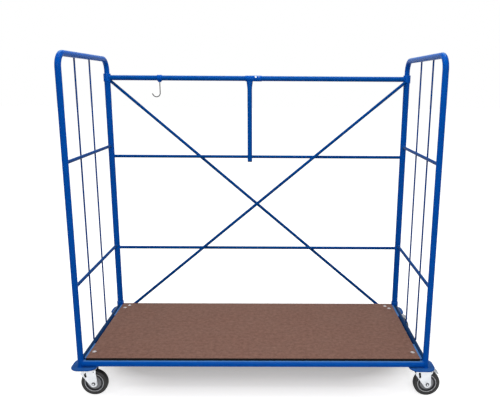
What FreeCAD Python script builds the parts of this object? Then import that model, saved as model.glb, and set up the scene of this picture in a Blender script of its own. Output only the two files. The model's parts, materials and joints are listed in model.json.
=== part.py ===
import FreeCAD, Part
import math
import os

# Open-fronted load trolley: two hooped end frames, a braced back, a board deck and four swivel casters.
# Millimetres. +Z is up, the open front faces -Y, and the origin is on the floor under the middle.

os.makedirs("parts", exist_ok=True)
Vector = FreeCAD.Vector
UP = Vector(0, 0, 1)
ALONG_X = Vector(1, 0, 0)
ALONG_Y = Vector(0, 1, 0)

# Corner posts, centre to centre, and the tube of the end hoops
post_spacing_x = 1600.0
post_spacing_y = 660.0
post_dia = 26.9
tube_wall = 2.0
hoop_top_height = 1564.0
hoop_bend_radius = 60.0

# Rungs and upright rods of the end frames
upper_rung_height = 1107.0
lower_rung_height = 543.0
rung_dia = 16.0
upright_dia = 8.0
first_upright_gap = 224.0
upright_pitch = 201.0
upright_foot_rise = 8.0

# Back wall
top_rail_dia = 26.9
top_rail_drop = 94.0
middle_rod_drop = 420.0
lower_rod_height = 528.0
back_rod_dia = 16.0
brace_dia = 16.0
falling_foot_inset = 92.0
rising_foot_inset = 64.0
brace_head_drop = 6.5
brace_head_setback = 12.0
rear_sleeve_dia = 32.0
rail_ring_dia = 38.0
rail_ring_height = 42.0

# Base
base_rail_dia = 30.0
bearer_size = 25.0
bearer_spacing = 520.0
bearer_corner = 3.0
rail_end_setback = 7.0
foot_collar_dia = 38.0
foot_collar_height = 45.0
corner_plate_length = 120.0
corner_plate_depth = 116.0
corner_plate_thickness = 5.0
corner_plate_corner = 40.0
corner_plate_inset_x = 16.0
corner_plate_overhang = 40.0
gusset_leg = 165.0
gusset_thickness = 6.0
gusset_rail_gap = 10.0
gusset_tip = 24.0

# Deck board and its bolts: each bolt is placed inwards from its corner post as (x, y)
deck_thickness = 12.0
deck_side_gap = 25.0
deck_front_overlap = 2.0
deck_rear_gap = 25.0
deck_corner = 4.0
front_deck_bolts = [(45.0, 61.0)]
rear_deck_bolts = [(51.0, 87.0), (68.0, 56.0)]
bolt_dia = 8.0
bolt_clearance = 0.25
bolt_head_dia = 20.0
bolt_head_height = 4.2
bolt_seat_clearance = 0.6
bolt_seat_depth = 1.0
nut_across_flats = 13.0
nut_height = 6.5
bolt_tail = 4.0

# Swinging arm on the top rail
arm_position_x = -41.0
arm_dia = 25.0
arm_reach = 446.0
arm_sleeve_dia = 31.0
arm_sleeve_length = 47.0
arm_neck_width = 34.0
arm_neck_depth = 20.0
arm_neck_length = 60.0
arm_cap_flange = 4.0
arm_cap_round = 1.4
arm_cap_plug = 18.0
arm_rest_gap = 0.4
stop_collar_length = 40.0
stop_collar_gap = 0.6

# Hook
hook_position_x = -521.0
hook_wire_dia = 5.0
hook_bend_radius = 20.0
hook_drop = 79.0
hook_tip_length = 9.0
hook_tip_flare = 35.0
hook_collar_dia = 33.0
hook_collar_length = 27.0
hook_collar_corner = 3.4
hook_boss_dia = 18.0
hook_boss_drop = 22.0
hook_head_dia = 9.0
hook_head_height = 3.0
hook_head_gap = 0.4

# Casters: wheel, swivel head and top plate
wheel_dia = 125.0
tyre_width = 32.0
tyre_shoulder = 9.0
tyre_sidewall_step = 5.0
caster_height = 152.0
caster_trail = 34.0
caster_inset_x = 16.0
caster_inset_y = 28.0
caster_plate_length = 105.0
caster_plate_depth = 85.0
caster_plate_thickness = 3.0
caster_plate_corner = 12.0
caster_hole_spacing_x = 80.0
caster_hole_spacing_y = 60.0
caster_bolt_head = 5.3
kingpin_dia = 12.0
kingpin_head_dia = 22.0
kingpin_head_height = 3.7
kingpin_head_round = 1.8
running_clearance = 0.05
swivel_gap = 0.4
race_dia = 42.0
race_skirt_wall = 3.5
race_skirt_height = 10.5

# Casters: pressed fork
fork_thickness = 2.5
fork_inner_width = 40.0
fork_crown_gap = 6.0
fork_bend_radius = 3.5
fork_lead = 28.0
fork_tail = 47.0
fork_lead_drop = 15.0
fork_apex_radius = 18.0
fork_crown_corner = 8.0
fork_slot_width = 9.0
fork_slot_length = 27.0
fork_slot_lead = 3.0
fork_slot_rise = 46.5
fork_slot_tilt = 10.0
fork_rim_width = 3.5
fork_rim_height = 1.2
brake_lug_reach = 10.0
brake_lug_height = 13.0

# Casters: wheel core and axle
rim_dia = 90.0
rim_width = 26.0
rim_flange = 3.5
web_width = 9.0
hub_disc_dia = 64.0
hub_disc_width = 22.0
hub_ring_dia = 46.0
hub_ring_width = 4.0
hub_ring_depth = 1.5
hub_boss_dia = 27.0
hub_side_gap = 0.5
core_draft = 1.5
axle_bush_dia = 12.0
axle_bolt_dia = 8.0
axle_head_height = 5.5

# Casters: brake pedal on the right-hand pair
pedal_pin_dia = 5.0
pedal_pin_ahead = 16.0
pedal_pin_rise = 64.5
pedal_width = 34.0
pedal_sheet = 3.0
pedal_knee_ahead = 12.0
pedal_knee_rise = 2.0
pedal_slope = 33.0
pedal_pad_length = 28.0
pedal_pad_width = 44.0
pedal_pad_thickness = 4.5
pedal_pad_corner = 6.0
pedal_shoe_length = 15.0
pedal_shoe_gap = 6.2

# Places that follow from the sizes above
half_x = post_spacing_x / 2
half_y = post_spacing_y / 2
plate_top = caster_height + corner_plate_thickness
top_rail_height = hoop_top_height - top_rail_drop
middle_rod_height = top_rail_height - middle_rod_drop
rear_sleeve_top = top_rail_height + rail_ring_height / 2
base_axis = plate_top + base_rail_dia / 2
deck_bottom = plate_top + base_rail_dia
deck_top = deck_bottom + deck_thickness
wheel_radius = wheel_dia / 2
fork_crown_under = wheel_dia + fork_crown_gap
fork_crown_top = fork_crown_under + fork_thickness
caster_plate_under = caster_height - caster_plate_thickness
upright_offset = (rung_dia + upright_dia) / 2
brace_offset = (back_rod_dia + brace_dia) / 2
corners = {
    "front_left": (-1, -1),
    "front_right": (1, -1),
    "rear_left": (-1, 1),
    "rear_right": (1, 1),
}
ends = {"left": -1, "right": 1}


def save(node, *solids):
    shape = solids[0] if len(solids) == 1 else Part.makeCompound(list(solids))
    shape.exportStep("parts/" + node + ".step")


def bar(start, finish, dia):
    run = finish - start
    return Part.makeCylinder(dia / 2, run.Length, start, run)


def ring(centre, axis, outer_dia, inner_dia, length):
    start = centre - axis * (length / 2)
    outer = Part.makeCylinder(outer_dia / 2, length, start, axis)
    inner = Part.makeCylinder(inner_dia / 2, length, start, axis)
    return outer.cut(inner)


def rounded_outline(points, place):
    # Closed wire through corners given as (u, v, radius); place turns (u, v) into a point in space.
    entries = []
    middles = []
    exits = []
    for index, (u, v, radius) in enumerate(points):
        corner = Vector(u, v, 0)
        before = Vector(points[index - 1][0], points[index - 1][1], 0) - corner
        following = points[(index + 1) % len(points)]
        after = Vector(following[0], following[1], 0) - corner
        before.normalize()
        after.normalize()
        half_angle = before.getAngle(after) / 2
        inwards = before + after
        if inwards.Length > 0:
            inwards.normalize()
        entries.append(corner + before * (radius / math.tan(half_angle)))
        exits.append(corner + after * (radius / math.tan(half_angle)))
        middles.append(corner + inwards * (radius / math.sin(half_angle) - radius))
    edges = []
    for index, (_, _, radius) in enumerate(points):
        start = place(entries[index])
        finish = place(exits[index])
        if radius > 0:
            edges.append(Part.Arc(start, place(middles[index]), finish).toShape())
        ahead = place(entries[(index + 1) % len(points)])
        if finish.distanceToPoint(ahead) > 1e-6:
            edges.append(Part.LineSegment(finish, ahead).toShape())
    return Part.Wire(edges)


def rectangle(length_u, length_v, radius):
    u = length_u / 2
    v = length_v / 2
    return [(-u, -v, radius), (u, -v, radius), (u, v, radius), (-u, v, radius)]


def flat_plate(points, x, y, z, thickness):
    wire = rounded_outline(points, lambda p: Vector(x + p.x, y + p.y, z))
    return Part.Face(wire).extrude(UP * thickness)


def hex_prism(centre, axis, across_flats, height):
    # Six-sided head or nut standing on centre along axis.
    radius = across_flats / math.sqrt(3)
    place = FreeCAD.Placement(centre, FreeCAD.Rotation(UP, axis))
    corners_xy = [(radius * math.cos(k * math.pi / 3), radius * math.sin(k * math.pi / 3)) for k in range(7)]
    wire = Part.makePolygon([place.multVec(Vector(u, v, 0)) for u, v in corners_xy])
    return Part.Face(wire).extrude(axis * height)


def fuse_all(shapes):
    joined = shapes[0].multiFuse(shapes[1:])
    return joined.removeSplitter()


def largest(shape):
    # The piece itself, without the crumbs that coping an end can leave.
    return max(shape.Solids, key=lambda solid: solid.Volume)


def hoop_body(x, dia):
    # One bent tube: up the front post, over the top and down the rear post.
    bend = hoop_bend_radius
    low = plate_top
    shoulder = hoop_top_height - bend
    shift = bend * math.sqrt(0.5)
    front_foot = Vector(x, -half_y, low)
    front_shoulder = Vector(x, -half_y, shoulder)
    front_turn = Vector(x, -half_y + bend - shift, shoulder + shift)
    front_top = Vector(x, -half_y + bend, hoop_top_height)
    rear_top = Vector(x, half_y - bend, hoop_top_height)
    rear_turn = Vector(x, half_y - bend + shift, shoulder + shift)
    rear_shoulder = Vector(x, half_y, shoulder)
    rear_foot = Vector(x, half_y, low)
    path = Part.Wire([
        Part.LineSegment(front_foot, front_shoulder).toShape(),
        Part.Arc(front_shoulder, front_turn, front_top).toShape(),
        Part.LineSegment(front_top, rear_top).toShape(),
        Part.Arc(rear_top, rear_turn, rear_shoulder).toShape(),
        Part.LineSegment(rear_shoulder, rear_foot).toShape(),
    ])
    section = Part.Wire(Part.makeCircle(dia / 2, front_foot, UP))
    return path.makePipeShell([section], True, False)


def base_rail_span(name):
    # Ends of a base rail's axis, just short of the axes of the posts that it joins.
    reach_x = half_x - rail_end_setback
    reach_y = half_y - rail_end_setback
    spans = {
        "front": (Vector(-reach_x, -half_y, base_axis), Vector(reach_x, -half_y, base_axis)),
        "rear": (Vector(-reach_x, half_y, base_axis), Vector(reach_x, half_y, base_axis)),
        "left": (Vector(-half_x, -reach_y, base_axis), Vector(-half_x, reach_y, base_axis)),
        "right": (Vector(half_x, -reach_y, base_axis), Vector(half_x, reach_y, base_axis)),
    }
    return spans[name]


def end_frames(post_cores, sleeve_cores, rail_cores):
    for side, sign in ends.items():
        x = sign * half_x
        core = post_cores[side]
        save(side + "_end_hoop", core.cut(hoop_body(x, post_dia - 2 * tube_wall)))
        for level, height in (("upper", upper_rung_height), ("lower", lower_rung_height)):
            rung = bar(Vector(x, -half_y, height), Vector(x, half_y, height), rung_dia)
            save(side + "_" + level + "_rung", rung.cut(core).cut(sleeve_cores[side]))
        rods = []
        rod_x = x + sign * upright_offset
        for count in range(2):
            y = -half_y + first_upright_gap + count * upright_pitch
            top = hoop_top_height - upright_dia / 2
            low = base_axis + upright_foot_rise
            rod = bar(Vector(rod_x, y, low), Vector(rod_x, y, top), upright_dia)
            rods.append(rod.cut(core).cut(rail_cores[side]))
        save(side + "_upright_rods", *rods)


def gusset(corner):
    # Chamfered triangle in a corner of the base, just under the deck.
    sx, sy = corners[corner]
    edge = gusset_rail_gap
    outline = [(edge, gusset_tip), (gusset_tip, edge), (gusset_leg, edge), (gusset_leg, gusset_tip),
               (gusset_tip, gusset_leg), (edge, gusset_leg)]
    low = deck_bottom - gusset_thickness
    points = [Vector(sx * (half_x - u), sy * (half_y - v), low) for u, v in outline]
    return Part.Face(Part.makePolygon(points + points[:1])).extrude(UP * gusset_thickness)


def deck_bolt_places():
    places = []
    for sx, sy in corners.values():
        for u, v in (front_deck_bolts if sy < 0 else rear_deck_bolts):
            places.append((sx * (half_x - u), sy * (half_y - v)))
    return places


def square_outline(middle, size, corner):
    return rounded_outline(rectangle(size, size, corner), lambda p: middle + Vector(p.x, 0, p.y))


def base_frame(rail_cores, stops):
    for name, core in rail_cores.items():
        start, finish = base_rail_span(name)
        tube = core.cut(bar(start, finish, base_rail_dia - 2 * tube_wall))
        across = name in ("left", "right")
        others = [rail_cores[other] for other in ("front", "rear")] if across else []
        for stop in stops + others:
            tube = tube.cut(stop)
        save(name + "_base_rail", largest(tube))
    bearers = []
    for side, sign in ends.items():
        reach = half_y - rail_end_setback
        middle = Vector(sign * bearer_spacing / 2, -reach, deck_bottom - bearer_size / 2)
        outer = Part.Face(square_outline(middle, bearer_size, bearer_corner))
        inner = Part.Face(square_outline(middle, bearer_size - 2 * tube_wall, bearer_corner - tube_wall))
        bearer = outer.cut(inner).extrude(ALONG_Y * (2 * reach))
        bearer = bearer.cut(rail_cores["front"]).cut(rail_cores["rear"])
        bearers.append(largest(bearer))
        collar = ring(Vector(sign * half_x, half_y, plate_top + foot_collar_height / 2), UP,
                      foot_collar_dia, rear_sleeve_dia, foot_collar_height)
        save(side + "_foot_collar", collar)
    save("deck_bearers", *bearers)


def gussets_and_deck(rail_cores, stops):
    bolts = deck_bolt_places()
    shank = bolt_dia / 2
    hole_radius = shank + bolt_clearance
    gussets = {}
    for corner in corners:
        plate = gusset(corner)
        for core in list(rail_cores.values()) + stops:
            plate = plate.cut(core)
        for x, y in bolts:
            low = deck_bottom - gusset_thickness
            plate = plate.cut(Part.makeCylinder(hole_radius, gusset_thickness, Vector(x, y, low)))
        gussets[corner] = plate
    save("deck_gussets", *gussets.values())

    length = post_spacing_x - 2 * deck_side_gap
    front = -half_y - deck_front_overlap
    rear = half_y - deck_rear_gap
    board = flat_plate(rectangle(length, rear - front, deck_corner), 0, (front + rear) / 2,
                       deck_bottom, deck_thickness)
    fasteners = []
    seat_radius = bolt_head_dia / 2 + bolt_seat_clearance
    seat = deck_top - bolt_seat_depth
    nut_top = deck_bottom - gusset_thickness
    for x, y in bolts:
        board = board.cut(Part.makeCylinder(hole_radius, deck_thickness, Vector(x, y, deck_bottom)))
        board = board.cut(Part.makeCylinder(seat_radius, bolt_seat_depth, Vector(x, y, seat)))
        dome_radius = ((bolt_head_dia / 2) ** 2 + bolt_head_height ** 2) / (2 * bolt_head_height)
        ball = Part.makeSphere(dome_radius, Vector(x, y, seat + bolt_head_height - dome_radius))
        head = ball.common(Part.makeCylinder(bolt_head_dia / 2, bolt_head_height, Vector(x, y, seat)))
        tail = nut_top - nut_height - bolt_tail
        fasteners.append(fuse_all([head, Part.makeCylinder(shank, seat - tail, Vector(x, y, tail))]))
        nut = hex_prism(Vector(x, y, nut_top - nut_height), UP, nut_across_flats, nut_height)
        fasteners.append(nut.cut(Part.makeCylinder(shank, nut_height, Vector(x, y, nut_top - nut_height))))
    save("deck_board", board)
    save("deck_bolts", *fasteners)
    return gussets


def rear_sleeve(side, dia):
    # Tube round the rear leg of a hoop, from its corner plate to above the top rail.
    foot = Vector(ends[side] * half_x, half_y, plate_top)
    return Part.makeCylinder(dia / 2, rear_sleeve_top - plate_top, foot)


def back_wall(sleeve_cores, rail_cores, gussets):
    posts = list(sleeve_cores.values())
    start = Vector(-half_x, half_y, top_rail_height)
    finish = Vector(half_x, half_y, top_rail_height)
    rail_core = bar(start, finish, top_rail_dia)
    rail = rail_core.cut(bar(start, finish, top_rail_dia - 2 * tube_wall))
    rings = []
    for side, sign in ends.items():
        low = Vector(sign * half_x, half_y, rear_sleeve_top - rail_ring_height)
        end_ring = Part.makeCylinder(rail_ring_dia / 2, rail_ring_height, low)
        whole = fuse_all([sleeve_cores[side], end_ring])
        save(side + "_rail_sleeve", whole.cut(rear_sleeve(side, post_dia)))
        rail = rail.cut(end_ring)
        rings.append(end_ring)
    save("back_top_rail", rail)

    for name, height in (("middle", middle_rod_height), ("lower", lower_rod_height)):
        rod = bar(Vector(-half_x, half_y, height), Vector(half_x, half_y, height), back_rod_dia)
        for post in posts:
            rod = rod.cut(post)
        save("back_" + name + "_rod", rod)

    # One brace lies behind the cross rods and the other in front, each touching both rods.
    braces = {
        "falling_brace": (-1, half_y + brace_offset, falling_foot_inset),
        "rising_brace": (1, half_y - brace_offset, rising_foot_inset),
    }
    for name, (sign, y, foot_inset) in braces.items():
        corner = Vector(sign * half_x, y, top_rail_height - brace_head_drop)
        foot = Vector(-sign * (half_x - foot_inset), y, base_axis)
        head = corner + (foot - corner) * (brace_head_setback / (foot - corner).Length)
        brace = bar(head, foot, brace_dia)
        for core in posts + rings + [rail_core, rail_cores["rear"]] + list(gussets.values()):
            brace = brace.cut(core)
        save(name, largest(brace))


def corner_plates():
    for corner, (sx, sy) in corners.items():
        x = sx * (half_x - corner_plate_inset_x)
        y = sy * (half_y + corner_plate_overhang - corner_plate_depth / 2)
        outline = rectangle(corner_plate_length, corner_plate_depth, corner_plate_corner)
        plate = flat_plate(outline, x, y, caster_height, corner_plate_thickness)
        kingpin = caster_place(corner)
        for hole in caster_holes(kingpin):
            plate = plate.cut(Part.makeCylinder(bolt_dia / 2, corner_plate_thickness, hole))
        save(corner + "_corner_plate", plate)


def caster_place(corner):
    sx, sy = corners[corner]
    return Vector(sx * (half_x - caster_inset_x), sy * (half_y - caster_inset_y), 0)


def caster_holes(kingpin):
    # Bolt axes at the underside of the corner plate.
    holes = []
    for sx, sy in corners.values():
        shift = Vector(sx * caster_hole_spacing_x / 2, sy * caster_hole_spacing_y / 2, caster_height)
        holes.append(kingpin + shift)
    return holes


def swinging_arm():
    # Modelled hanging straight down, then leant forward until it rests against the middle rod.
    pivot = Vector(arm_position_x, half_y, top_rail_height)
    radius = arm_dia / 2
    lean = math.degrees(math.asin((radius + back_rod_dia / 2 + arm_rest_gap) / middle_rod_drop))
    bore = top_rail_dia + 2 * running_clearance
    sleeve_core = Part.makeCylinder(arm_sleeve_dia / 2, arm_sleeve_length,
                                    pivot - ALONG_X * (arm_sleeve_length / 2), ALONG_X)
    sleeve = ring(pivot, ALONG_X, arm_sleeve_dia, bore, arm_sleeve_length)

    neck_low = pivot - UP * arm_neck_length
    oval = Part.Ellipse(pivot, arm_neck_width / 2, arm_neck_depth / 2)
    neck = Part.makeLoft([Part.Wire(oval.toShape()), Part.Wire(Part.makeCircle(radius, neck_low, UP))], True)
    tube_end = pivot - UP * (arm_reach - arm_cap_flange)
    stem = bar(neck_low, tube_end, arm_dia)
    hollow = bar(neck_low, tube_end, arm_dia - 2 * tube_wall)
    tube = fuse_all([neck, stem]).cut(sleeve_core).cut(hollow)

    plug_dia = arm_dia - 2 * tube_wall
    flange = Part.makeCylinder(radius, arm_cap_flange, tube_end, -UP)
    flange = flange.makeFillet(arm_cap_round, [edge_at(flange, tube_end.z - arm_cap_flange)])
    cap = fuse_all([flange, Part.makeCylinder(plug_dia / 2, arm_cap_plug, tube_end)])

    for node, solid in (("arm_sleeve", sleeve), ("arm_tube", tube), ("arm_end_cap", cap)):
        solid.rotate(pivot, ALONG_X, -lean)
        save(node, solid)

    stop_x = arm_position_x + arm_sleeve_length / 2 + stop_collar_gap + stop_collar_length / 2
    stop_centre = Vector(stop_x, half_y, top_rail_height)
    save("arm_stop_collar", ring(stop_centre, ALONG_X, arm_sleeve_dia, top_rail_dia, stop_collar_length))


def edge_at(shape, height):
    # The round edge of a shape that lies flat at a height.
    for edge in shape.Edges:
        if edge.BoundBox.ZLength < 1e-6 and abs(edge.BoundBox.ZMin - height) < 1e-6:
            return edge
    return None


def hook_and_collar():
    pivot = Vector(hook_position_x, half_y, top_rail_height)
    boss_low = pivot - UP * hook_boss_drop
    wire_radius = hook_wire_dia / 2
    half = hook_collar_length / 2
    bead_radius = hook_collar_dia / 2
    bead = rounded_outline([(-half, 0, 0), (half, 0, 0), (half, bead_radius, hook_collar_corner),
                            (-half, bead_radius, hook_collar_corner)], lambda p: pivot + Vector(p.x, 0, p.y))
    collar = Part.Face(bead).revolve(pivot, ALONG_X, 360)
    collar = fuse_all([collar, Part.makeCylinder(hook_boss_dia / 2, hook_boss_drop, boss_low)])
    collar = collar.cut(Part.makeCylinder(top_rail_dia / 2, 2 * hook_collar_length,
                                          pivot - ALONG_X * hook_collar_length, ALONG_X))
    # The shank's head turns in a pocket between the rail and the bottom of the boss.
    pocket_low = top_rail_dia / 2 + hook_head_height + 2 * hook_head_gap
    pocket = Part.makeCylinder(hook_head_dia / 2 + hook_head_gap, pocket_low, pivot, -UP)
    collar = collar.cut(pocket)
    collar = collar.cut(Part.makeCylinder(wire_radius + running_clearance, hook_boss_drop, pivot, -UP))
    save("hook_collar", collar)

    head_top = pivot - UP * (top_rail_dia / 2 + hook_head_gap)
    head = Part.makeCylinder(hook_head_dia / 2, hook_head_height, head_top, -UP)
    bend_centre = pivot - UP * hook_drop - ALONG_X * hook_bend_radius
    shank_low = bend_centre + ALONG_X * hook_bend_radius
    bend_low = bend_centre - UP * hook_bend_radius
    sweep = math.radians(180 - hook_tip_flare)
    bend_end = bend_centre + Vector(math.cos(sweep), 0, -math.sin(sweep)) * hook_bend_radius
    tip = bend_end + Vector(-math.sin(sweep), 0, -math.cos(sweep)) * hook_tip_length
    path = Part.Wire([
        Part.LineSegment(head_top - UP * hook_head_height, shank_low).toShape(),
        Part.Arc(shank_low, bend_low, bend_end).toShape(),
        Part.LineSegment(bend_end, tip).toShape(),
    ])
    section = Part.Wire(Part.makeCircle(wire_radius, head_top - UP * hook_head_height, UP))
    wire = path.makePipeShell([section], True, False)
    save("hook", fuse_all([wire, head, Part.makeSphere(wire_radius, tip)]))


def axle_centre():
    return Vector(caster_trail, 0, wheel_radius)


def apex_touch(point, turn):
    # Where a line from point touches the round end of the fork leg.
    reach = point - axle_centre()
    angle = math.atan2(reach.z, reach.x) + turn * math.acos(fork_apex_radius / reach.Length)
    return axle_centre() + Vector(math.cos(angle), 0, math.sin(angle)) * fork_apex_radius


def fork_slope():
    # Upper and lower end of the leg's straight leading edge.
    upper = Vector(-fork_lead, 0, fork_crown_top - fork_lead_drop)
    return upper, apex_touch(upper, 1)


def fork_outline(braked):
    # Side view of a fork leg: a straight leading slope and a steep tail, both tangent to the apex.
    # A braked fork has a lug behind the top of its tail for the pedal's pin.
    upper, lead_touch = fork_slope()
    top_lead = Vector(-fork_lead, 0, fork_crown_top)
    top_tail = Vector(fork_tail, 0, fork_crown_top)
    tail_touch = apex_touch(top_tail, -1)
    low = axle_centre() - UP * fork_apex_radius
    edges = [
        Part.LineSegment(top_lead, upper).toShape(),
        Part.LineSegment(upper, lead_touch).toShape(),
        Part.Arc(lead_touch, low, tail_touch).toShape(),
    ]
    corner_points = [tail_touch, top_tail, top_lead]
    if braked:
        lug_top = top_tail + ALONG_X * brake_lug_reach
        lug_low = lug_top - UP * brake_lug_height
        tail_run = tail_touch - top_tail
        lug_root = top_tail + tail_run * ((brake_lug_height + brake_lug_reach) / -tail_run.z)
        corner_points = [tail_touch, lug_root, lug_low, lug_top, top_lead]
    for start, finish in zip(corner_points, corner_points[1:]):
        edges.append(Part.LineSegment(start, finish).toShape())
    return Part.Wire(edges)


def fork_slot(reach):
    # Round-ended slot through both legs, nearly upright.
    tilt = math.radians(fork_slot_tilt)
    along = Vector(math.sin(tilt), 0, -math.cos(tilt))
    inwards = Vector(-along.z, 0, along.x)
    centre = Vector(-fork_slot_lead, -reach, wheel_radius + fork_slot_rise)
    straight = along * ((fork_slot_length - fork_slot_width) / 2)
    side = inwards * (fork_slot_width / 2)
    tip = along * (fork_slot_length / 2)
    wire = Part.Wire([
        Part.LineSegment(centre - straight + side, centre + straight + side).toShape(),
        Part.Arc(centre + straight + side, centre + tip, centre + straight - side).toShape(),
        Part.LineSegment(centre + straight - side, centre - straight - side).toShape(),
        Part.Arc(centre - straight - side, centre - tip, centre - straight + side).toShape(),
    ])
    return Part.Face(wire).extrude(ALONG_Y * (2 * reach))


def caster_fork(braked):
    # Pressed sheet: a folded channel cut to the leg's side view, its leading corners rounded in plan.
    inner = fork_inner_width / 2
    outer = inner + fork_thickness
    low = wheel_radius - 2 * fork_apex_radius
    channel = rounded_outline([
        (-outer, low, 0), (-inner, low, 0), (-inner, fork_crown_under, fork_bend_radius),
        (inner, fork_crown_under, fork_bend_radius), (inner, low, 0), (outer, low, 0),
        (outer, fork_crown_top, fork_bend_radius + fork_thickness),
        (-outer, fork_crown_top, fork_bend_radius + fork_thickness),
    ], lambda p: Vector(-2 * fork_lead, p.x, p.y))
    tail = fork_tail + (brake_lug_reach if braked else 0)
    fork = Part.Face(channel).extrude(ALONG_X * (2 * fork_lead + 2 * tail))
    side = Part.Face(fork_outline(braked))
    side.translate(-ALONG_Y * (2 * outer))
    fork = fork.common(side.extrude(ALONG_Y * (4 * outer)))
    plan = [(-fork_lead, -outer, fork_crown_corner), (2 * tail, -outer, 0), (2 * tail, outer, 0),
            (-fork_lead, outer, fork_crown_corner)]
    fork = fork.common(flat_plate(plan, 0, 0, 0, fork_crown_top))

    # Turned rim along the edge of each leg
    face = Part.Face(fork_outline(False))
    rim = face.cut(face.makeOffset2D(-fork_rim_width))
    rim_top = fork_crown_top - brake_lug_height - brake_lug_reach
    band = Part.makeBox(2 * tail, fork_rim_height, rim_top,
                        Vector(fork_crown_corner - fork_lead, 0, 0))
    for sign in (-1, 1):
        strip = rim.extrude(ALONG_Y * fork_rim_height)
        strip = strip.common(band)
        strip.translate(ALONG_Y * (outer if sign > 0 else -outer - fork_rim_height))
        fork = fork.fuse(strip)

    # Slot, axle holes, swivel race and kingpin bore
    axle = Part.makeCylinder(axle_bolt_dia / 2, 4 * outer, axle_centre() - ALONG_Y * (2 * outer), ALONG_Y)
    race_top = caster_plate_under - swivel_gap
    race = Part.makeCylinder(race_dia / 2, race_top - fork_crown_top, Vector(0, 0, fork_crown_top))
    bore = Part.makeCylinder(kingpin_dia / 2 + running_clearance, caster_height)
    fork = fuse_all([fork, race]).cut(fork_slot(2 * outer)).cut(axle).cut(bore)
    if braked:
        pin = Part.makeCylinder(pedal_pin_dia / 2 + running_clearance, 4 * outer,
                                pedal_pin_centre() - ALONG_Y * (2 * outer), ALONG_Y)
        fork = fork.cut(pin)
    return fork


def pedal_pin_centre():
    return Vector(caster_trail + pedal_pin_ahead, 0, wheel_radius + pedal_pin_rise)


def brake_pedal():
    # Pin through the fork legs, a link rising out of the fork, a foot pad and a shoe over the tread.
    pin_centre = pedal_pin_centre()
    knee = pin_centre + Vector(pedal_knee_ahead, 0, pedal_knee_rise)
    half_width = pedal_width / 2
    outer = fork_inner_width / 2 + fork_thickness
    pin = Part.makeCylinder(pedal_pin_dia / 2, 2 * outer, pin_centre - ALONG_Y * outer, ALONG_Y)
    link = Part.makeBox((knee - pin_centre).Length, pedal_width, pedal_sheet,
                        pin_centre + Vector(0, -half_width, -pedal_sheet / 2))
    link.rotate(pin_centre, ALONG_Y, -math.degrees(math.atan2(pedal_knee_rise, pedal_knee_ahead)))
    fold = Part.makeCylinder(pedal_sheet / 2, pedal_width, knee - ALONG_Y * half_width, ALONG_Y)
    pad_corners = rectangle(pedal_pad_length, pedal_pad_width, pedal_pad_corner)
    pad_low = knee.z - pedal_sheet / 2
    pad = flat_plate(pad_corners, knee.x + pedal_pad_length / 2, 0, pad_low, pedal_pad_thickness)
    pad.rotate(knee, ALONG_Y, pedal_slope)

    # The shoe fills the space between the pad and a circle round the tyre.
    below = Part.makeBox(pedal_pad_length, pedal_width, pedal_pin_rise,
                         knee - Vector(0, half_width, pedal_pin_rise))
    below.rotate(knee, ALONG_Y, pedal_slope)
    shoe = Part.makeBox(pedal_shoe_length, pedal_width, pedal_pin_rise,
                        Vector(knee.x + pedal_sheet, -half_width, wheel_radius)).common(below)
    clear = wheel_radius + pedal_shoe_gap
    shoe = shoe.cut(Part.makeCylinder(clear, pedal_width, axle_centre() - ALONG_Y * half_width, ALONG_Y))
    return fuse_all([pin, link, fold, pad, shoe])


def revolved(profile):
    # Solid of revolution about the axle from (y, radius) corners, with a rounding radius at each.
    wire = rounded_outline(profile, lambda p: axle_centre() + Vector(0, p.x, p.y))
    return Part.Face(wire).revolve(axle_centre(), ALONG_Y, 360)


def tyre():
    half = tyre_width / 2
    bead = rim_dia / 2
    step = bead + tyre_sidewall_step
    return revolved([
        (-rim_width / 2, bead, 0), (rim_width / 2, bead, 0), (half, step, 0),
        (half, wheel_radius, tyre_shoulder), (-half, wheel_radius, tyre_shoulder), (-half, step, 0),
    ])


def wheel_core():
    bore = axle_bush_dia / 2 + running_clearance
    hub = fork_inner_width / 2 - hub_side_gap
    disc = hub_disc_width / 2
    boss = hub_boss_dia / 2
    ring_in = (hub_ring_dia - hub_ring_width) / 2
    ring_out = (hub_ring_dia + hub_ring_width) / 2
    rim = rim_dia / 2
    flange = rim - rim_flange
    web = web_width / 2
    one_side = [
        (hub, bore, 0), (hub, boss, 0), (disc, boss + core_draft, 0), (disc, ring_in, 0),
        (disc - hub_ring_depth, ring_in, 0), (disc - hub_ring_depth, ring_out, 0), (disc, ring_out, 0),
        (disc, hub_disc_dia / 2, 0), (web, hub_disc_dia / 2 + core_draft, 0),
        (web, flange - core_draft, 0), (rim_width / 2, flange, 0), (rim_width / 2, rim, 0),
    ]
    other_side = [(-y, r, radius) for y, r, radius in reversed(one_side)]
    return revolved(one_side + other_side)


def axle_set():
    # Bush between the legs, bolt through it and the nut behind.
    inner = fork_inner_width / 2
    outer = inner + fork_thickness
    centre = axle_centre()
    bush = ring(centre, ALONG_Y, axle_bush_dia, axle_bolt_dia, fork_inner_width)
    shank = Part.makeCylinder(axle_bolt_dia / 2, 2 * outer + nut_height, centre - ALONG_Y * outer, ALONG_Y)
    head = hex_prism(centre - ALONG_Y * outer, -ALONG_Y, nut_across_flats, axle_head_height)
    nut = hex_prism(centre + ALONG_Y * outer, ALONG_Y, nut_across_flats, nut_height)
    return [bush, fuse_all([shank, head]), nut.cut(shank)]


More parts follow.
